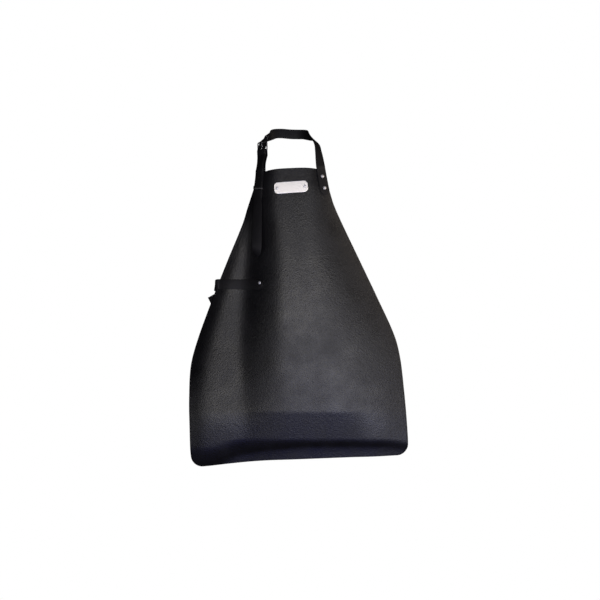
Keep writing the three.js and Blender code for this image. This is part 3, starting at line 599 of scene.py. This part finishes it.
def strap_sections(length, half, round_end):
    """Distances along a strap and its half widths there; the start is always rounded."""
    angle = (np.arange(END_FACETS) + 0.5) / END_FACETS * math.pi / 2.0
    tip = half * (1.0 - np.cos(angle))
    stop = length - half if round_end else length
    body = np.linspace(half, stop, math.ceil((stop - half) / FINE_STEP) + 1)
    places = [tip, body]
    halves = [half * np.sin(angle), np.full(len(body), half)]
    if round_end:
        places.append(length - tip[::-1])
        halves.append(half * np.sin(angle[::-1]))
    return np.concatenate(places), np.concatenate(halves)


def strap(name, path, wall, width, round_end):
    """Strap of one thickness with burnished round edges along a path."""
    places, halves = strap_sections(path.length, width / 2.0, round_end)
    point, _, across, normal = path.frames(places)
    rings = []
    for k, half in enumerate(halves):
        ring = rounded_ring(half, wall / 2.0, min(STRAP_EDGE, half * TIP_EDGE))
        rings.append(point[k] + ring[:, :1] * across[k] + ring[:, 1:] * normal[k])
    return loft(name, rings)


def buckle_frame():
    """Rectangular ring of one bar with rounded corners and edges."""
    size = BUCKLE_SIZE
    half_width = (size["width"] - size["bar"]) / 2.0
    middle = rounded_ring(half_width, BAR_RISE, size["corner"], facets=7)
    section = rounded_ring(size["bar"] / 2.0, size["wall"] / 2.0, size["edge"], facets=6)
    rings = place_at(closed_band(middle, section), BUCKLE_MIDDLE, BUCKLE_SIDE, BUCKLE_UP, BUCKLE_FACE)
    return loft("buckle_ring", rings, closed=True)


def prong():
    """Round bar hooked about the lower bar, resting on the upper one."""
    rows = []
    for turn in np.radians(PRONG_HOOK):
        rows.append(buckle_point(-BAR_RISE + PRONG["ring"] * math.sin(turn), PRONG["ring"] * math.cos(turn)))
    on_bar = BUCKLE_SIZE["wall"] / 2.0 + GAP + PRONG["radius"]
    rows.append(buckle_point(0.0, PRONG["middle_out"]))
    rows.append(buckle_point(BAR_RISE - PRONG["bend"], on_bar))
    rows.append(buckle_point(BAR_RISE + BUCKLE_SIZE["bar"] / 2.0, on_bar))
    path = StrapPath([station(row, BUCKLE_SIDE) for row in rows])
    places = np.linspace(0.0, path.length, PRONG_STATIONS)
    point, _, across, normal = path.frames(places)
    angle = np.arange(PRONG_FACETS)[:, None] / PRONG_FACETS * 2.0 * math.pi
    rings = []
    for k, place in enumerate(places):
        near_tip = min(place, path.length - place) / PRONG["radius"] + PRONG["blunt"]
        radius = PRONG["radius"] * math.sqrt(1.0 - (1.0 - min(near_tip, 1.0)) ** 2)
        rings.append(point[k] + radius * (np.cos(angle) * across[k] + np.sin(angle) * normal[k]))
    return loft("prong", rings)


def keeper(strap_width):
    """Narrow leather loop; an attribute marks its lower border for a painted highlight."""
    wall = KEEPER["wall"]
    x, z = corner_x(KEEPER["z"]), KEEPER["z"]
    half_width = (strap_width + 2.0 * GAP + wall) / 2.0
    middle = rounded_ring(half_width, (KEEPER["inner"] + wall) / 2.0, KEEPER["corner"], facets=6)
    section = rounded_ring(wall / 2.0, KEEPER["height"] / 2.0, KEEPER["edge"])
    above, below = z + 1.0, z - 1.0
    along = unit(panel_point(corner_x(above), above) - panel_point(corner_x(below), below))
    side = unit(np.cross(panel_normal(x, z), along))
    out = PANEL_WALL / 2.0 + LAY + wall + KEEPER["inner"] / 2.0
    band = closed_band(middle, section)
    rings = place_at(band, panel_offset(x, z, out), side, np.cross(along, side), along)
    made = loft("keeper", rings, closed=True)
    # The loop's lower outer border, where its edge catches the light, gets a painted highlight
    highlit_edge = made.data.attributes.new("highlit_edge", "FLOAT", "POINT")
    lower = (section[:, 1] < 0.0) & (section[:, 0] > 0.0)
    highlit_edge.data.foreach_set("value", np.tile(lower, len(middle)).astype(float))
    return made


def rivet_form(name, size, seat, back):
    """One rivet round +Z: a dome with a turned rim on its seat, a shank and a cap behind."""
    head, rise, shank, cap, cap_rise = size.values()
    profile = [(POLE, back - cap_rise)]
    profile += [(cap * radius, back - cap_rise * depth) for radius, depth in CAP_SECTION]
    profile += [(shank, back), (shank, seat)]
    profile += [(head * radius, seat + rise * height) for radius, height in RIM_SECTION]
    for angle in np.radians(DOME["angles"]):
        height = mix(DOME["foot"], 1.0, math.sin(angle))
        profile.append((head * DOME["radius"] * math.cos(angle), seat + rise * height))
    turn = np.arange(RIVET_FACETS)[None, :] / RIVET_FACETS * 2.0 * math.pi
    radius, place = np.array(profile).T[:, :, None]
    rings = np.stack(np.broadcast_arrays(radius * np.cos(turn), radius * np.sin(turn), place), axis=-1)
    return loft(name, rings)


def plate_axes():
    """Directions across and up the plate, and the way that its face looks."""
    normal = unit(panel_normal(PLATE["x"], PLATE["z"]) - PLATE_LEAN * UP)
    side = unit(np.cross(UP, normal))
    up = np.cross(normal, side)
    tilt = PLATE["tilt"]
    return side * math.cos(tilt) + up * math.sin(tilt), up * math.cos(tilt) - side * math.sin(tilt), normal


def label_plate():
    """Flat plate with rounded corners and softly broken edges."""
    half = PLATE["wall"] / 2.0
    edge = PLATE_EDGE["break"]
    turn = PLATE_EDGE["turn"] * edge
    levels = [(-half, edge), (-half + edge, 0.0), (half - edge, 0.0), (half - turn, turn)]
    levels += [(half, edge), (half, edge + PLATE_EDGE["border"])]
    rings = []
    for level, inset in levels:
        half_width = PLATE["width"] / 2.0 - inset
        ring = rounded_ring(half_width, PLATE["height"] / 2.0 - inset, PLATE["corner"] - inset, facets=12)
        rings.append(np.column_stack([ring, np.full(len(ring), level)]))
    return loft("plate", place_at(rings, panel_offset(PLATE["x"], PLATE["z"], PLATE_OUT), *plate_axes()))


# Materials


def linear(code):
    """Linear colour from an sRGB hex code."""
    shares = [int(code[k:k + 2], 16) / 255.0 for k in (1, 3, 5)]
    return [c / 12.92 if c <= 0.04045 else ((c + 0.055) / 1.055) ** 2.4 for c in shares]


def shade(colour, factor=1.0):
    """The same colour made darker or lighter, as a shader's socket takes it."""
    return (*[factor * c for c in colour], 1.0)


def add(tree, kind, sockets=None, **settings):
    """Adds one node; a socket given another node's socket is linked and any other value is set."""
    made = tree.nodes.new(kind)
    for name, value in settings.items():
        setattr(made, name, value)
    for name, value in (sockets or {}).items():
        if isinstance(value, bpy.types.NodeSocket):
            tree.links.new(value, made.inputs[name])
        else:
            made.inputs[name].default_value = value
    return made


def new_material(name):
    """Empty material with its node tree."""
    material = bpy.data.materials.new(name)
    material.use_nodes = True
    material.node_tree.nodes.clear()
    return material, material.node_tree


def leather(name, colour, roughness, grain, finish):
    """Black hide: pebbles catch a soft, slightly uneven sheen on a nearly black ground."""
    material, tree = new_material(name)
    place = add(tree, "ShaderNodeTexCoord").outputs["Object"]
    # Pebbles, the fine wrinkles between them and a shallow mottling a few pebbles across
    pebble = add(tree, "ShaderNodeTexVoronoi", {"Vector": place, "Scale": 1.0 / grain}, feature="SMOOTH_F1")
    wrinkle = add(tree, "ShaderNodeTexNoise", {
        "Vector": place, "Scale": 1.0 / (HIDE["wrinkle"] * grain), "Detail": 4.0,
    })
    mottle = add(tree, "ShaderNodeTexNoise", {
        "Vector": place, "Scale": 1.0 / (HIDE["mottle"] * grain), "Detail": 2.0,
    })
    grained = add(tree, "ShaderNodeMath", {
        0: pebble.outputs["Distance"], 1: wrinkle.outputs["Fac"],
    }, operation="ADD")
    height = add(tree, "ShaderNodeMath", {0: grained.outputs[0], 1: mottle.outputs["Fac"]}, operation="ADD")
    bump = add(tree, "ShaderNodeBump", {
        "Height": height.outputs[0], "Strength": finish["relief"], "Distance": HIDE["depth"] * grain,
    })
    # Broad patches where the hide is a little drier
    patch = add(tree, "ShaderNodeTexNoise", {
        "Vector": place, "Scale": 1.0 / (HIDE_PATCH["size"] * MM), "Detail": 4.0, "Roughness": 0.6,
    })
    rough = add(tree, "ShaderNodeMapRange", {
        "Value": patch.outputs["Fac"], "From Min": 0.3, "From Max": 0.7,
        "To Min": roughness - HIDE_PATCH["smoother"], "To Max": roughness + HIDE_PATCH["rougher"],
    })
    tint = add(tree, "ShaderNodeMix", {
        "Factor": patch.outputs["Fac"],
        "A": shade(colour, 1.0 - HIDE_PATCH["tint"]), "B": shade(colour, 1.0 + HIDE_PATCH["tint"]),
    }, data_type="RGBA")
    # Painted highlight: lighter where the keeper's lower edge catches the light
    highlit_edge = add(tree, "ShaderNodeAttribute", attribute_name="highlit_edge").outputs["Fac"]
    highlight_share = add(tree, "ShaderNodeMath", {0: highlit_edge, 1: EDGE_HIGHLIGHT["power"]}, operation="POWER")
    base = add(tree, "ShaderNodeMix", {
        "Factor": highlight_share.outputs[0], "A": tint.outputs["Result"], "B": shade(linear(EDGE_HIGHLIGHT["colour"])),
    }, data_type="RGBA")
    surface = add(tree, "ShaderNodeBsdfPrincipled", {
        "Base Color": base.outputs["Result"], "Roughness": rough.outputs["Result"],
        "Normal": bump.outputs["Normal"], "Specular IOR Level": finish["gloss"],
    })
    add(tree, "ShaderNodeOutputMaterial", {"Surface": surface.outputs["BSDF"]})
    return material


def flesh_side(name, colour):
    """Back of the hide: matte short nap, greyer than the dyed front and without its sheen."""
    material, tree = new_material(name)
    place = add(tree, "ShaderNodeTexCoord").outputs["Object"]
    nap = add(tree, "ShaderNodeTexNoise", {
        "Vector": place, "Scale": 1.0 / (NAP["size"] * MM), "Detail": 4.0,
    })
    bump = add(tree, "ShaderNodeBump", {
        "Height": nap.outputs["Fac"], "Strength": NAP["relief"], "Distance": NAP["depth"] * MM,
    })
    patch = add(tree, "ShaderNodeTexNoise", {
        "Vector": place, "Scale": 1.0 / (NAP["patch"] * MM), "Detail": 5.0,
    })
    tint = add(tree, "ShaderNodeMix", {
        "Factor": patch.outputs["Fac"],
        "A": shade(colour, 1.0 - NAP["tint"]), "B": shade(colour, 1.0 + NAP["tint"]),
    }, data_type="RGBA")
    surface = add(tree, "ShaderNodeBsdfPrincipled", {
        "Base Color": tint.outputs["Result"], "Roughness": NAP["roughness"],
        "Normal": bump.outputs["Normal"], "Specular IOR Level": NAP["gloss"],
    })
    add(tree, "ShaderNodeOutputMaterial", {"Surface": surface.outputs["BSDF"]})
    return material


def metal(name, colour, roughness, scratch):
    """Nickel plate: a soft bright sheen, a little uneven where handling has scuffed it."""
    material, tree = new_material(name)
    place = add(tree, "ShaderNodeTexCoord").outputs["Object"]
    wear = add(tree, "ShaderNodeTexNoise", {
        "Vector": place, "Scale": 1.0 / (WEAR["size"] * MM), "Detail": 5.0,
    })
    rough = add(tree, "ShaderNodeMapRange", {
        "Value": wear.outputs["Fac"], "From Min": 0.35, "From Max": 0.65,
        "To Min": roughness - WEAR["smoother"], "To Max": roughness + WEAR["rougher"],
    })
    bump = add(tree, "ShaderNodeBump", {
        "Height": wear.outputs["Fac"], "Strength": scratch, "Distance": WEAR["depth"] * MM,
    })
    surface = add(tree, "ShaderNodeBsdfPrincipled", {
        "Base Color": shade(colour), "Metallic": 1.0, "Roughness": rough.outputs["Result"],
        "Normal": bump.outputs["Normal"],
    })
    add(tree, "ShaderNodeOutputMaterial", {"Surface": surface.outputs["BSDF"]})
    return material


def plain(name, colour):
    """Matte paint: an even ground without a sheen."""
    material, tree = new_material(name)
    surface = add(tree, "ShaderNodeBsdfPrincipled", {
        "Base Color": shade(colour), "Roughness": FLOOR_ROUGHNESS,
    })
    add(tree, "ShaderNodeOutputMaterial", {"Surface": surface.outputs["BSDF"]})
    return material


def finish_piece(obj, nodes, slot, *materials):
    """Gives a piece its materials and puts it in the place of its CAD nodes; slot is not used."""
    obj.data.materials.clear()
    for material in materials:
        obj.data.materials.append(material)
    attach(obj, "root")
    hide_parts(*nodes)
    return obj


# Geometry Nodes


def node_group(name, inputs):
    """Empty geometry node tree with named inputs and one geometry output."""
    tree = bpy.data.node_groups.new(name, "GeometryNodeTree")
    for label, kind in inputs:
        tree.interface.new_socket(label, in_out="INPUT", socket_type=kind)
    tree.interface.new_socket("Geometry", in_out="OUTPUT", socket_type="NodeSocketGeometry")
    return tree, add(tree, "NodeGroupInput").outputs


def aligned_instances(tree, points, form, stretched):
    """Puts a form on each point, turned to the point's facing and along vectors."""
    def vector(name):
        named = add(tree, "GeometryNodeInputNamedAttribute", {"Name": name}, data_type="FLOAT_VECTOR")
        return named.outputs[0]

    outwards = add(tree, "FunctionNodeAlignRotationToVector", {"Vector": vector("facing")}, axis="Z")
    upright = add(tree, "FunctionNodeAlignRotationToVector", {
        "Rotation": outwards.outputs[0], "Vector": vector("along"),
    }, axis="Y", pivot_axis="Z")
    sockets = {"Points": points, "Instance": form, "Rotation": upright.outputs[0]}
    if stretched:
        sockets["Scale"] = vector("stretch")
    placed = add(tree, "GeometryNodeInstanceOnPoints", sockets)
    return add(tree, "GeometryNodeRealizeInstances", {"Geometry": placed.outputs[0]}).outputs[0]


def rivet_tree():
    """Copies one rivet form onto points."""
    tree, given = node_group("Set rivets", [
        ("Geometry", "NodeSocketGeometry"), ("Rivet", "NodeSocketObject"),
        ("Material", "NodeSocketMaterial"),
    ])
    form = add(tree, "GeometryNodeObjectInfo", {"Object": given["Rivet"]}).outputs["Geometry"]
    copies = aligned_instances(tree, given["Geometry"], form, False)
    dressed = add(tree, "GeometryNodeSetMaterial", {"Geometry": copies, "Material": given["Material"]})
    add(tree, "NodeGroupOutput", {"Geometry": dressed.outputs[0]})
    return tree


def punch_tree():
    """Punches a round or stretched hole through a strap at each point."""
    tree, given = node_group("Punch holes", [
        ("Geometry", "NodeSocketGeometry"), ("Holes", "NodeSocketObject"), ("Radius", "NodeSocketFloat"),
        ("Depth", "NodeSocketFloat"), ("Material", "NodeSocketMaterial"),
    ])
    spots = add(tree, "GeometryNodeObjectInfo", {"Object": given["Holes"]}).outputs["Geometry"]
    tool = add(tree, "GeometryNodeMeshCylinder", {
        "Vertices": PUNCH_FACETS, "Radius": given["Radius"], "Depth": given["Depth"],
    }).outputs["Mesh"]
    tools = aligned_instances(tree, spots, tool, True)
    punched = add(tree, "GeometryNodeMeshBoolean", {
        "Mesh 1": given["Geometry"], "Mesh 2": tools,
    }, operation="DIFFERENCE", solver="EXACT")
    whole = add(tree, "GeometryNodeRealizeInstances", {"Geometry": punched.outputs["Mesh"]})
    dressed = add(tree, "GeometryNodeSetMaterial", {
        "Geometry": whole.outputs[0], "Material": given["Material"],
    })
    add(tree, "NodeGroupOutput", {"Geometry": dressed.outputs[0]})
    return tree


def points_object(name, points, **vectors):
    """Loose points with named vectors on each."""
    made = make_object(name, points, [])
    for label, values in vectors.items():
        store = made.data.attributes.new(label, "FLOAT_VECTOR", "POINT")
        store.data.foreach_set("vector", np.asarray(values, float).ravel())
    return made


def run_nodes(obj, tree, **values):
    """Runs a node tree on an object with the given inputs and keeps the mesh that comes out."""
    modifier = obj.modifiers.new(tree.name, "NODES")
    modifier.node_group = tree
    for item in tree.interface.items_tree:
        if item.in_out == "INPUT" and item.name in values:
            modifier[item.identifier] = values[item.name]
    obj.update_tag()
    graph = bpy.context.evaluated_depsgraph_get()
    mesh = bpy.data.meshes.new_from_object(obj.evaluated_get(graph))
    obj.modifiers.remove(modifier)
    old = obj.data
    obj.data = mesh
    bpy.data.meshes.remove(old)
    if len(mesh.polygons) == 0:
        raise RuntimeError(f"{tree.name} left nothing of {obj.name}")
    mesh.shade_smooth()
    mesh.set_sharp_from_angle(angle=SHARP)


def hole_points(path):
    """Points of the neck strap's punched holes, from the prong's long one on."""
    prong_place = path.nearest(buckle_point(-PRONG["bend"], PRONG["middle_out"]))
    steps = np.arange(STRAP_HOLE["spare"] + 1)
    point, along, _, normal = path.frames(prong_place + steps * STRAP_HOLE["pitch"])
    long_hole = 1.0 + STRAP_HOLE["reach"] / STRAP_HOLE["radius"]
    stretch = [(1.0, long_hole if step == 0 else 1.0, 1.0) for step in steps]
    return points_object("hole_points", point, facing=normal, along=along, stretch=stretch)


def slot_points():
    """Point of the slot that the prong passes through in the buckle strap."""
    point = buckle_point(-BAR_RISE + SLOT["length"] / 4.0, 0.0)
    stretch = (1.0, SLOT["length"] / SLOT["width"], 1.0)
    return points_object("slot_points", [point], facing=[BUCKLE_FACE], along=[BUCKLE_UP], stretch=[stretch])


def on_panel(spots):
    """Nodes of some rivets, and the points of the panel and directions that they stand on."""
    x, z = np.array(list(spots.values())).T
    return list(spots), panel_point(x, z), panel_normal(x, z)


def on_plate():
    """The same for the plate's two rivets, which stand square on it."""
    across, _, normal = plate_axes()
    reach = PLATE_RIVETS / 2.0 * across
    middle = panel_point(PLATE["x"], PLATE["z"])
    points = np.array([middle - reach, middle + reach])
    return ["plate_rivet_left", "plate_rivet_right"], points, np.array([normal, normal])


# Stage pieces


def soft_light(name, spot, size, power, colour):
    """Area light of some width and height at a spot, turned to the apron's skirt."""
    lamp = bpy.data.lights.new(name, "AREA")
    lamp.shape = "RECTANGLE"
    lamp.size, lamp.size_y = size
    lamp.energy = power
    lamp.color = linear(colour)
    lamp.spread = LIGHT_SPREAD
    made = bpy.data.objects.new(name, lamp)
    towards = unit(np.array(AIM) - np.array(spot))
    side = unit(np.cross(towards, UP))
    turn = Matrix(np.column_stack([side, np.cross(side, towards), -towards]).tolist()).to_4x4()
    made.matrix_world = Matrix.Translation(spot) @ turn
    bpy.context.scene.collection.objects.link(made)
    return made


def photo_camera(settings):
    """Camera before the apron at the photograph's height, roll and distance."""
    lens = bpy.data.cameras.new("Camera")
    lens.lens = settings.lens
    lens.sensor_width = 36.0
    lens.clip_end = 50.0
    camera = bpy.data.objects.new("Camera", lens)
    place = Matrix.Translation((CAMERA_AT["x"], -NECK_BACK * MM - settings.distance, CAMERA_AT["z"]))
    lean = Matrix.Rotation(settings.roll, 4, "Y")
    camera.matrix_world = place @ lean @ Matrix.Rotation(math.pi / 2, 4, "X")
    bpy.context.scene.collection.objects.link(camera)
    return camera


def grey_floor():
    """Plain floor that the camera doesn't see; it only takes up the light below the apron."""
    sides = (-FLOOR["half"], FLOOR["half"])
    rows = [[(x, y, FLOOR["z"]) for x in sides] for y in (FLOOR["front"], FLOOR["back"])]
    floor = make_object("Floor", rows, grid_faces(2, 2))
    floor.visible_camera = False
    floor.data.materials.append(plain("Grey floor", linear("#504e52")))
    return floor


def white_world(scene):
    """World that is white to the camera and gives only a dim even light to the apron."""
    world = bpy.data.worlds.new("White studio")
    world.use_nodes = True
    tree = world.node_tree
    tree.nodes.clear()
    seen = add(tree, "ShaderNodeLightPath").outputs["Is Camera Ray"]
    strength = add(tree, "ShaderNodeMapRange", {"Value": seen, "To Min": DIM_WORLD, "To Max": 1.0})
    light = add(tree, "ShaderNodeBackground", {
        "Strength": strength.outputs["Result"], "Color": (1.0, 1.0, 1.0, 1.0),
    })
    add(tree, "ShaderNodeOutputWorld", {"Surface": light.outputs["Background"]})
    scene.world = world


# Settings


class ApronLeather(bpy.types.PropertyGroup):
    panel_wall: FloatProperty(
        name="Panel thickness", description="Thickness of the panel's hide", default=PANEL_WALL * MM,
        unit="LENGTH")
    strap_wall: FloatProperty(
        name="Strap thickness", description="Thickness of the straps", default=STRAP_WALL * MM,
        unit="LENGTH")
    strap_width: FloatProperty(
        name="Strap width", description="Width of every strap", default=STRAP_WIDTH * MM, unit="LENGTH")
    grain: FloatProperty(
        name="Grain", description="Size of one pebble of the hide", default=GRAIN * MM, unit="LENGTH")
    roughness: FloatProperty(
        name="Roughness", description="How matte the panel's hide is", default=0.4, subtype="FACTOR")
    panel_colour: FloatVectorProperty(
        name="Panel colour", description="Colour of the panel's hide", default=linear("#0f0e10"),
        subtype="COLOR")
    flesh_colour: FloatVectorProperty(
        name="Flesh side", description="Colour of the panel's back", default=linear("#3d3937"),
        subtype="COLOR")
    strap_colour: FloatVectorProperty(
        name="Strap colour", description="Colour of the straps", default=linear("#171617"), subtype="COLOR")


class ApronMetal(bpy.types.PropertyGroup):
    bright_colour: FloatVectorProperty(
        name="Bright metal", description="Colour of the rivets", default=linear("#ecebeb"), subtype="COLOR")
    buckle_colour: FloatVectorProperty(
        name="Dull metal", description="Colour of the buckle", default=linear("#8a898c"), subtype="COLOR")
    plate_colour: FloatVectorProperty(
        name="Plate metal", description="Colour of the plate", default=linear("#fdfafa"), subtype="COLOR")


class ApronStage(bpy.types.PropertyGroup):
    lens: FloatProperty(
        name="Lens", description="Camera's focal length", default=50.0, subtype="DISTANCE_CAMERA")
    distance: FloatProperty(
        name="Distance", description="Camera before the apron's ridge", default=2.317, unit="LENGTH")
    roll: FloatProperty(
        name="Roll", description="Camera's turn round its own axis", default=math.radians(2.5),
        subtype="ANGLE")
    key: FloatProperty(
        name="Key light", description="Power of the large softbox", default=8.0, unit="POWER")
    top: FloatProperty(
        name="Top light", description="Power of the light from above", default=1.6, unit="POWER")
    side: FloatProperty(
        name="Side light", description="Power of the strip on the right", default=6.0, unit="POWER")
    back: FloatProperty(
        name="Back light", description="Power of the softbox behind", default=8.0, unit="POWER")
    glow: FloatProperty(
        name="Floor glow", description="Power of the cool light from below", default=1.0, unit="POWER")


# Operators


class APRON_OT_make_straps(bpy.types.Operator):
    """Build the neck strap, the buckle strap, its keeper and the waist strap"""
    bl_idname = "apron.make_straps"
    bl_label = "Straps"

    def execute(self, context):
        settings = context.scene.apron_leather
        wall = settings.strap_wall / MM
        width = settings.strap_width / MM
        matte = settings.roughness + STRAP_MATTE
        hide = leather("Smooth strap leather", settings.strap_colour, matte, settings.grain, STRAP_FINISH)
        tree = punch_tree()
        around_neck = neck_path()
        neck = strap("neck_strap_leather", around_neck, wall, width, True)
        holes = hole_points(around_neck)
        run_nodes(
            neck, tree, Holes=holes, Radius=STRAP_HOLE["radius"] * MM,
            Depth=STRAP_HOLE["depth"] * settings.strap_wall, Material=hide)
        buckled = strap("buckle_strap_leather", buckle_strap_path(), wall, width, True)
        slot = slot_points()
        run_nodes(
            buckled, tree, Holes=slot, Radius=SLOT["width"] / 2.0 * MM,
            Depth=SLOT["depth"] * settings.strap_wall, Material=hide)
        drop(holes)
        drop(slot)
        waist = strap("waist_strap_leather", waist_path(), wall, width, False)
        finish_piece(neck, ["neck_strap"], "strap_leather", hide)
        finish_piece(buckled, ["buckle_strap"], "strap_leather", hide)
        finish_piece(waist, ["waist_strap"], "strap_leather", hide)
        finish_piece(keeper(width), ["strap_keeper"], "strap_leather", hide)
        return {"FINISHED"}


class APRON_OT_make_buckle(bpy.types.Operator):
    """Build the buckle's frame and its prong"""
    bl_idname = "apron.make_buckle"
    bl_label = "Buckle"

    def execute(self, context):
        # Greyer and duller than the rivets, because the strap rubs it
        nickel = metal("Dull nickel", context.scene.apron_metal.buckle_colour, roughness=0.45, scratch=0.1)
        finish_piece(buckle_frame(), ["buckle_frame"], "bright_metal", nickel)
        finish_piece(prong(), ["buckle_prong"], "bright_metal", nickel)
        return {"FINISHED"}


class APRON_OT_make_rivets(bpy.types.Operator):
    """Set the rivets of the straps and the plate"""
    bl_idname = "apron.make_rivets"
    bl_label = "Rivets"

    def execute(self, context):
        # Pale domes with one broad soft highlight
        nickel = metal("Rivet nickel", context.scene.apron_metal.bright_colour, roughness=0.5, scratch=0.1)
        tree = rivet_tree()
        plate_seat = PLATE_OUT + PLATE["wall"] / 2.0 + GAP
        on_straps = {**NECK_RIVETS, "waist_rivet": WAIST_RIVET}
        groups = [
            ("strap_rivets", on_panel(on_straps), RIVET, HEAD_SEAT, CAP_SEAT),
            ("buckle_rivets", on_panel(BUCKLE_RIVETS), LOW_RIVET, HEAD_SEAT, BACK_SEAT),
            ("plate_rivets", on_plate(), PLATE_RIVET, plate_seat, CAP_SEAT - PLATE_BOW),
        ]
        for name, (nodes, points, normals), size, seat, back in groups:
            form = rivet_form("rivet_form", size, seat, back)
            upright = np.broadcast_to(UP, points.shape)
            rivets = points_object(name, points, facing=normals, along=upright)
            run_nodes(rivets, tree, Rivet=form, Material=nickel)
            drop(form)
            finish_piece(rivets, nodes, "bright_metal", nickel)
        return {"FINISHED"}


class APRON_OT_make_plate(bpy.types.Operator):
    """Build the bare metal plate on the bib"""
    bl_idname = "apron.make_plate"
    bl_label = "Plate"

    def execute(self, context):
        # The brightest piece: a flat pale sheet with a satin sheen
        satin = metal("Satin nickel", context.scene.apron_metal.plate_colour, roughness=0.34, scratch=0.15)
        finish_piece(label_plate(), ["label_plate"], "plate_metal", satin)
        return {"FINISHED"}


class APRON_OT_make_panel(bpy.types.Operator):
    """Build the leather panel: bib, folds, skirt and hem"""
    bl_idname = "apron.make_panel"
    bl_label = "Panel"

    def execute(self, context):
        settings = context.scene.apron_leather
        points = panel_grid()
        panel = make_object("panel", points, grid_faces(*points.shape[:2]))
        wall = panel.modifiers.new("Wall", "SOLIDIFY")
        wall.thickness = settings.panel_wall
        wall.offset = 0.0
        wall.material_offset = 1
        edge = panel.modifiers.new("Edge", "BEVEL")
        edge.width = settings.panel_wall * PANEL_EDGE["share"]
        edge.segments = PANEL_EDGE["segments"]
        edge.angle_limit = PANEL_EDGE["angle"]
        hide = leather(
            "Pebbled cowhide", settings.panel_colour, settings.roughness, settings.grain, PANEL_FINISH)
        nap = flesh_side("Hide's flesh side", settings.flesh_colour)
        finish_piece(panel, ["apron_panel"], "panel_leather", hide, nap)
        return {"FINISHED"}


class APRON_OT_make_stage(bpy.types.Operator):
    """Set up the camera, the lights, the white world and the grey floor"""
    bl_idname = "apron.make_stage"
    bl_label = "Stage"

    def execute(self, context):
        scene = context.scene
        settings = scene.apron_stage
        camera = photo_camera(settings)
        scene.camera = camera
        for name, spot, size, source, share, colour in LIGHTS:
            soft_light(name, spot, size, share * getattr(settings, source), colour)
        floor = grey_floor()
        white_world(scene)
        scene.view_settings.view_transform = "Standard"
        return {"FINISHED"}


OPERATORS = (
    APRON_OT_make_straps, APRON_OT_make_buckle, APRON_OT_make_rivets, APRON_OT_make_plate,
    APRON_OT_make_panel, APRON_OT_make_stage,
)


class APRON_PT_sidebar(bpy.types.Panel):
    bl_idname = "APRON_PT_sidebar"
    bl_label = "Apron"
    bl_space_type = "VIEW_3D"
    bl_region_type = "UI"
    bl_category = "Apron"

    def draw(self, context):
        for operator in OPERATORS:
            self.layout.operator(operator.bl_idname)


CLASSES = (ApronLeather, ApronMetal, ApronStage, *OPERATORS, APRON_PT_sidebar)


def register():
    for kind in CLASSES:
        bpy.utils.register_class(kind)
    bpy.types.Scene.apron_leather = PointerProperty(type=ApronLeather)
    bpy.types.Scene.apron_metal = PointerProperty(type=ApronMetal)
    bpy.types.Scene.apron_stage = PointerProperty(type=ApronStage)


def unregister():
    del bpy.types.Scene.apron_leather
    del bpy.types.Scene.apron_metal
    del bpy.types.Scene.apron_stage
    for kind in reversed(CLASSES):
        bpy.utils.unregister_class(kind)


def main():
    register()
    bpy.ops.apron.make_straps()
    bpy.ops.apron.make_buckle()
    bpy.ops.apron.make_rivets()
    bpy.ops.apron.make_plate()
    bpy.ops.apron.make_panel()
    bpy.ops.apron.make_stage()


if __name__ == "__main__":
    main()
